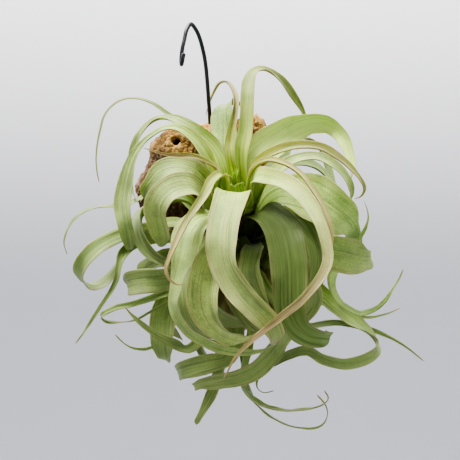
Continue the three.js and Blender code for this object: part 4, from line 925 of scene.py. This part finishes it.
class Nodes:
    """A short way to add nodes to a tree and join them."""

    def __init__(self, tree):
        self.tree = tree

    def feed(self, socket, value):
        """Joins a socket to a node's output, or sets it to a plain value."""
        if isinstance(value, bpy.types.NodeSocket):
            self.tree.links.new(value, socket)
        else:
            socket.default_value = value

    def add(self, kind, inputs=(), **settings):
        node = self.tree.nodes.new(kind)
        for name, value in settings.items():
            setattr(node, name, value)
        for name, value in dict(inputs).items():
            self.feed(node.inputs[name], value)
        return node

    def mark(self, name):
        """What the vertices keep under a name."""
        return self.add("ShaderNodeAttribute", attribute_name=name).outputs["Fac"]

    def place(self):
        return self.add("ShaderNodeTexCoord").outputs["Object"]

    def axes(self, place):
        return list(self.add("ShaderNodeSeparateXYZ", {"Vector": place}).outputs)

    def math(self, operation, a, b=0.0, clamp=False):
        node = self.add("ShaderNodeMath", operation=operation, use_clamp=clamp)
        self.feed(node.inputs[0], a)
        self.feed(node.inputs[1], b)
        return node.outputs[0]

    def plus(self, a, b):
        return self.math("ADD", a, b)

    def times(self, a, b, clamp=False):
        return self.math("MULTIPLY", a, b, clamp)

    def lifted(self, pattern, gain, least):
        """A pattern that is least at its lowest, and gain more at its highest."""
        return self.plus(self.times(pattern, gain), least)

    def span(self, value, low, high, start=0.0, end=1.0):
        """Goes smoothly from start to end as the value goes from low to high."""
        limits = {"From Min": low, "From Max": high, "To Min": start, "To Max": end}
        node = self.add("ShaderNodeMapRange", {"Value": value, **limits},
                        interpolation_type="SMOOTHSTEP")
        return node.outputs[0]

    def mix(self, share, a, b):
        """A mix of two colours, which are outputs or as they look on a screen."""
        node = self.add("ShaderNodeMix", data_type="RGBA")
        self.feed(node.inputs[0], share)
        for socket, value in ((node.inputs[6], a), (node.inputs[7], b)):
            self.feed(socket, colour(*value) if isinstance(value, tuple) else value)
        return node.outputs[2]

    def layers(self, base, *coats):
        """A colour with others laid over it, each by its share."""
        for share, coat in coats:
            base = self.mix(share, base, coat)
        return base

    def noise(self, place, scale, detail, roughness):
        inputs = {"Vector": place, "Scale": scale, "Detail": detail, "Roughness": roughness}
        return self.add("ShaderNodeTexNoise", inputs).outputs["Fac"]

    def stretched(self, place, scale):
        return self.add("ShaderNodeMapping", {"Vector": place, "Scale": scale}).outputs[0]

    def speckle(self, place, scale, low=0.38, high=0.62):
        inputs = {"Place": place, "Scale": scale, "Low": low, "High": high}
        return self.add("ShaderNodeGroup", inputs, node_tree=SPECKLE).outputs["Mask"]

    def bump(self, height, strength, distance):
        inputs = {"Height": height, "Strength": strength, "Distance": distance}
        return self.add("ShaderNodeBump", inputs).outputs[0]


class Skin(Nodes):
    """A new material's nodes, with one shader."""

    def __init__(self, name):
        self.material = bpy.data.materials.new(name)
        self.material.use_nodes = True
        super().__init__(self.material.node_tree)
        self.tree.nodes.clear()
        self.shader = self.add("ShaderNodeBsdfPrincipled")
        self.add("ShaderNodeOutputMaterial", {"Surface": self.shader.outputs[0]})

    def finished(self, base, **sockets):
        """Feeds the shader's sockets and gives the material."""
        self.feed(self.shader.inputs["Base Color"], base)
        for name, value in sockets.items():
            self.feed(self.shader.inputs[name.replace("_", " ")], value)
        return self.material


def speckle_group():
    """Node group: a soft mask of random spots of one size, from Low (0) to High (1)."""
    tree = bpy.data.node_groups.new("speckle", "ShaderNodeTree")
    for name, kind in (("Place", "Vector"), ("Scale", "Float"), ("Low", "Float"), ("High", "Float")):
        tree.interface.new_socket(name, in_out="INPUT", socket_type="NodeSocket" + kind)
    tree.interface.new_socket("Mask", in_out="OUTPUT", socket_type="NodeSocketFloat")
    nodes = Nodes(tree)
    given = nodes.add("NodeGroupInput").outputs
    spots = nodes.noise(given["Place"], given["Scale"], 3.0, 0.6)
    nodes.add("NodeGroupOutput", {"Mask": nodes.span(spots, given["Low"], given["High"])})
    return tree


def leaf_skin(name, sheen, gloss):
    """Ribbed skin under a pale bloom. Its shaded copy, with less sheen and gloss, is painted shade for
    leaves deep in the plant.
    """
    skin = Skin(name)
    strip = skin.add("ShaderNodeUVMap", uv_map=STRIP).outputs[0]
    place = skin.place()
    along = skin.mark("along")
    side = skin.math("ABSOLUTE", skin.mark("side"))
    ribs = skin.speckle(skin.stretched(strip, RIBS), 1.0)
    threads = skin.speckle(skin.stretched(strip, THREADS), 1.0)
    clouds = skin.speckle(place, LEAF_CLOUDS, 0.3, 0.7)
    grains = skin.speckle(place, LEAF_GRAINS)
    crease = skin.noise(skin.stretched(strip, CREASES), 1.0, 1.0, 0.5)
    crease = skin.math("ABSOLUTE", skin.math("SUBTRACT", crease, 0.5))
    crease = skin.span(crease, 0.0, CREASE_WIDTH, 1.0, 0.0)

    young = skin.plus(skin.mark("lime"), YOUNG_LEAST)
    young = skin.times(skin.span(along, *YOUNG_END, 1.0, 0.0), young, clamp=True)
    bloom = skin.times(skin.plus(clouds, 0.5), skin.mark("pale"))
    bloom = skin.times(bloom, skin.lifted(grains, 0.5, 0.35))
    bloom = skin.times(bloom, skin.span(along, *BLOOM_FADE))
    blush = skin.times(skin.mark("blush"), skin.lifted(ribs, 0.5, 0.35))
    margin = skin.times(skin.span(side, *MARGIN_START), skin.lifted(clouds, 0.5, 0.35))
    bare = skin.plus(skin.mark("blush"), MARGIN_LEAST)
    dry = skin.times(skin.span(along, *DRY_START), skin.mark("dry"))
    colours = skin.layers(
        skin.mix(ribs, *RIB_GREENS),
        (skin.times(threads, THREAD_SHOWS), THREAD_GREEN),
        (young, skin.mix(ribs, *YOUNG_GREENS)),
        (skin.times(bloom, BLOOM_SHOWS, clamp=True), BLOOM_GREEN),
        # the underside's deeper green: partly the leaf's own colour, partly painted shade under the blade
        (skin.times(skin.mark("under"), UNDERSIDE_SHADE_SHOWS), UNDERSIDE_SHADE_GREEN),
        (skin.times(blush, skin.span(along, *BLUSH_START)), BLUSH_TAN),
        (skin.times(margin, bare, clamp=True), MARGIN_PINK),
        (skin.times(crease, CREASE_SHOWS), CREASE_GREEN),
        (skin.times(dry, skin.lifted(ribs, 0.35, 0.65)), skin.mix(threads, *DRY_BROWNS)),
        (skin.times(skin.span(along, *TIP_START), TIP_SHOWS), TIP_BROWN),
        # painted shade on the inner parts of low leaves and on the bases of deep leaves
        (skin.times(skin.mark("painted_shade"), SHADE_SHOWS), SHADED_GREEN),
    )

    ridges = skin.math("SUBTRACT", skin.plus(ribs, skin.times(threads, 0.4)), crease)
    ridges = skin.plus(ridges, skin.times(grains, 0.15))
    return skin.finished(
        colours,
        Normal=skin.bump(ridges, 0.4, 0.0003),
        Roughness=skin.span(clouds, 0.0, 1.0, 0.5, 0.66),
        Specular_IOR_Level=gloss,
        Sheen_Weight=sheen,
        Sheen_Roughness=0.4,
        Subsurface_Weight=0.2,
        Subsurface_Radius=(0.7, 1.0, 0.25),
        Subsurface_Scale=0.002,
    )


def stem_skin():
    skin = Skin("stem_skin")
    place = skin.place()
    clouds = skin.speckle(place, STEM_CLOUDS)
    old = skin.span(skin.axes(place)[2], *STEM_OLD, 1.0, 0.0)
    base = skin.mix(old, skin.mix(clouds, *STEM_GREENS), skin.mix(clouds, *STEM_BROWNS))
    return skin.finished(base, Normal=skin.bump(clouds, 0.5, 0.0005), Roughness=0.6)


def cork_skin():
    """Cut tan cork in front, and grey bark on the left below the rim and all over the back."""
    skin = Skin("cork_skin")
    place = skin.place()
    across, back, up = skin.axes(place)
    broad = skin.noise(place, CORK_BROAD, 3.0, 0.6)
    fine = skin.speckle(place, CORK_FINE)
    strands = skin.speckle(skin.stretched(place, STRAND_SHAPE), CORK_STRANDS)
    specks = skin.speckle(place, CORK_SPECKS, 0.56, 0.66)
    tan = skin.mix(skin.times(fine, 0.35), skin.mix(strands, *CORK_TANS), CORK_PALE)
    grey = skin.mix(specks, skin.mix(fine, *BARK_GREYS), BARK_SPECK)
    across = skin.plus(across, skin.times(broad, BARK_WANDER[0]))
    level = skin.plus(up, skin.times(broad, BARK_WANDER[1]))
    bark = skin.times(skin.span(across, *BARK_ACROSS, 1.0, 0.0), skin.span(level, *BARK_UP, 1.0, 0.0))
    behind = skin.span(back, *BARK_BACK)
    # Painted shade on the cork low down in front, where the plant hangs over it
    cork_shade = skin.span(up, *CORK_SHADE_BELOW, 0.85, 0.0)
    colours = skin.layers(
        tan,
        (skin.math("MAXIMUM", bark, behind), grey),
        (skin.times(cork_shade, skin.math("SUBTRACT", 1.0, behind)), skin.mix(fine, *CORK_SHADE_BROWNS)),
        (skin.times(skin.mark("crack"), 0.75), LOW_SHADE_BROWN),
        (skin.mark("pit"), PIT_SHADE_BROWN),
    )
    normal = skin.bump(skin.plus(fine, strands), 0.8, 0.0005)
    return skin.finished(colours, Normal=normal, Roughness=0.92, Specular_IOR_Level=0.2)


def wire_coat():
    skin = Skin("wire_coat")
    worn = skin.speckle(skin.place(), WIRE_WEAR, 0.45, 0.75)
    rough = skin.span(worn, 0.0, 1.0, 0.3, 0.46)
    normal = skin.bump(worn, 0.12, 0.0001)
    return skin.finished(skin.mix(worn, *WIRE_BLACKS), Normal=normal, Roughness=rough)


def set_glue():
    skin = Skin("set_glue")
    clouds = skin.speckle(skin.place(), GLUE_CLOUDS)
    normal = skin.bump(clouds, 0.4, 0.0006)
    return skin.finished(skin.mix(clouds, *GLUE_TANS), Normal=normal, Roughness=0.35)


def studio_paper():
    skin = Skin("studio_paper")
    # Painted shade and light: the paper is darker towards the floor
    painted_light = skin.span(skin.axes(skin.place())[2], *PAPER_PAINTED_LIGHT)
    return skin.finished(skin.mix(painted_light, *PAPER_GREYS), Roughness=0.9)


# ---- Studio, in metres ----

EYE = (0.0187, -0.600, -0.0979)
LENS = 97.8  # with a sensor 36 mm wide
FLOOR_HEIGHT = -0.60
ROOM_RADIUS = 1.5
ROOM_SIDES = 96
CORNER_RADIUS = 0.8
CORNER_STEPS = 14
WALL_TOP = 1.5
ROOM_SEAM = 1e-5
# Each light: name, place, what it points at, width and power in watts
LIGHTS = [
    ["window", (-0.22, -0.12, 0.8), (0.02, 0.0, -0.09), 0.35, 19.5],
    ["wall_wash", (0.0, 0.5, 1.3), (0.0, 1.5, 0.4), 0.5, 22.0],
    ["ceiling", (0.0, 0.15, 1.45), (0.0, 0.15, 0.0), 1.8, 24.0],
]
AIR_TINT = (0.94, 0.96, 1.0, 1)
AIR_STRENGTH = 0.1


def make_stage():
    """A round studio: a pale paper floor that curves up into its wall."""
    bm = bmesh.new()
    ends = [(0, FLOOR_HEIGHT), (ROOM_RADIUS, FLOOR_HEIGHT), (ROOM_RADIUS, WALL_TOP)]
    line = [bm.verts.new((out, 0, up)) for out, up in ends]
    for start, end in zip(line, line[1:]):
        bm.edges.new((start, end))
    bmesh.ops.bevel(bm, geom=[line[1]], offset=CORNER_RADIUS, segments=CORNER_STEPS, profile=0.5,
                    affect="VERTICES", material=-1)
    bmesh.ops.spin(bm, geom=bm.verts[:] + bm.edges[:], cent=(0, 0, 0), axis=(0, 0, 1),
                   angle=2 * math.pi, steps=ROOM_SIDES, use_merge=True)
    bmesh.ops.remove_doubles(bm, verts=bm.verts, dist=ROOM_SEAM)
    bmesh.ops.recalc_face_normals(bm, faces=bm.faces)
    bmesh.ops.reverse_faces(bm, faces=bm.faces)
    smooth_object("studio_room", bm, studio_paper())


def make_studio():
    for name, place, target, size, power in LIGHTS:
        light = bpy.data.lights.new(name, "AREA")
        light.shape = "DISK"
        light.size = size
        light.energy = power
        lamp = linked(name, light)
        lamp.location = place
        lamp.rotation_euler = (Vector(target) - Vector(place)).to_track_quat("-Z", "Y").to_euler()
    world = bpy.data.worlds.new("studio_air")
    world.use_nodes = True
    air = world.node_tree.nodes["Background"]
    air.inputs["Color"].default_value = AIR_TINT
    air.inputs["Strength"].default_value = AIR_STRENGTH
    bpy.context.scene.world = world
    camera = bpy.data.cameras.new("photo_eye")
    camera.lens = LENS
    camera.sensor_width = 36
    eye = linked("photo_eye", camera)
    eye.location = EYE
    eye.rotation_euler = (math.pi / 2, 0, 0)
    bpy.context.scene.camera = eye
    bpy.context.scene.view_settings.look = "AgX - Medium High Contrast"


# ---- Making ----

SPECKLE = speckle_group()
open_skin = leaf_skin("leaf_skin", sheen=0.15, gloss=0.4)
# A shaded copy of the leaf skin, painted shade: no sheen and little gloss, for deep leaves and the old
# stubs
shaded_skin = leaf_skin("shaded_leaf_skin", sheen=0.0, gloss=0.12)
for order, row in enumerate(LEAVES):
    look = LOOKS.get(row[0], PLAIN_LOOK)
    make_leaf(order, row, look, shaded_skin if look.deep else open_skin)
make_heart(open_skin)
make_old_leaves(shaded_skin)
make_stem(stem_skin())
make_wire(wire_coat())
make_cork(cork_skin())
make_glue(set_glue())
make_stage()
make_studio()
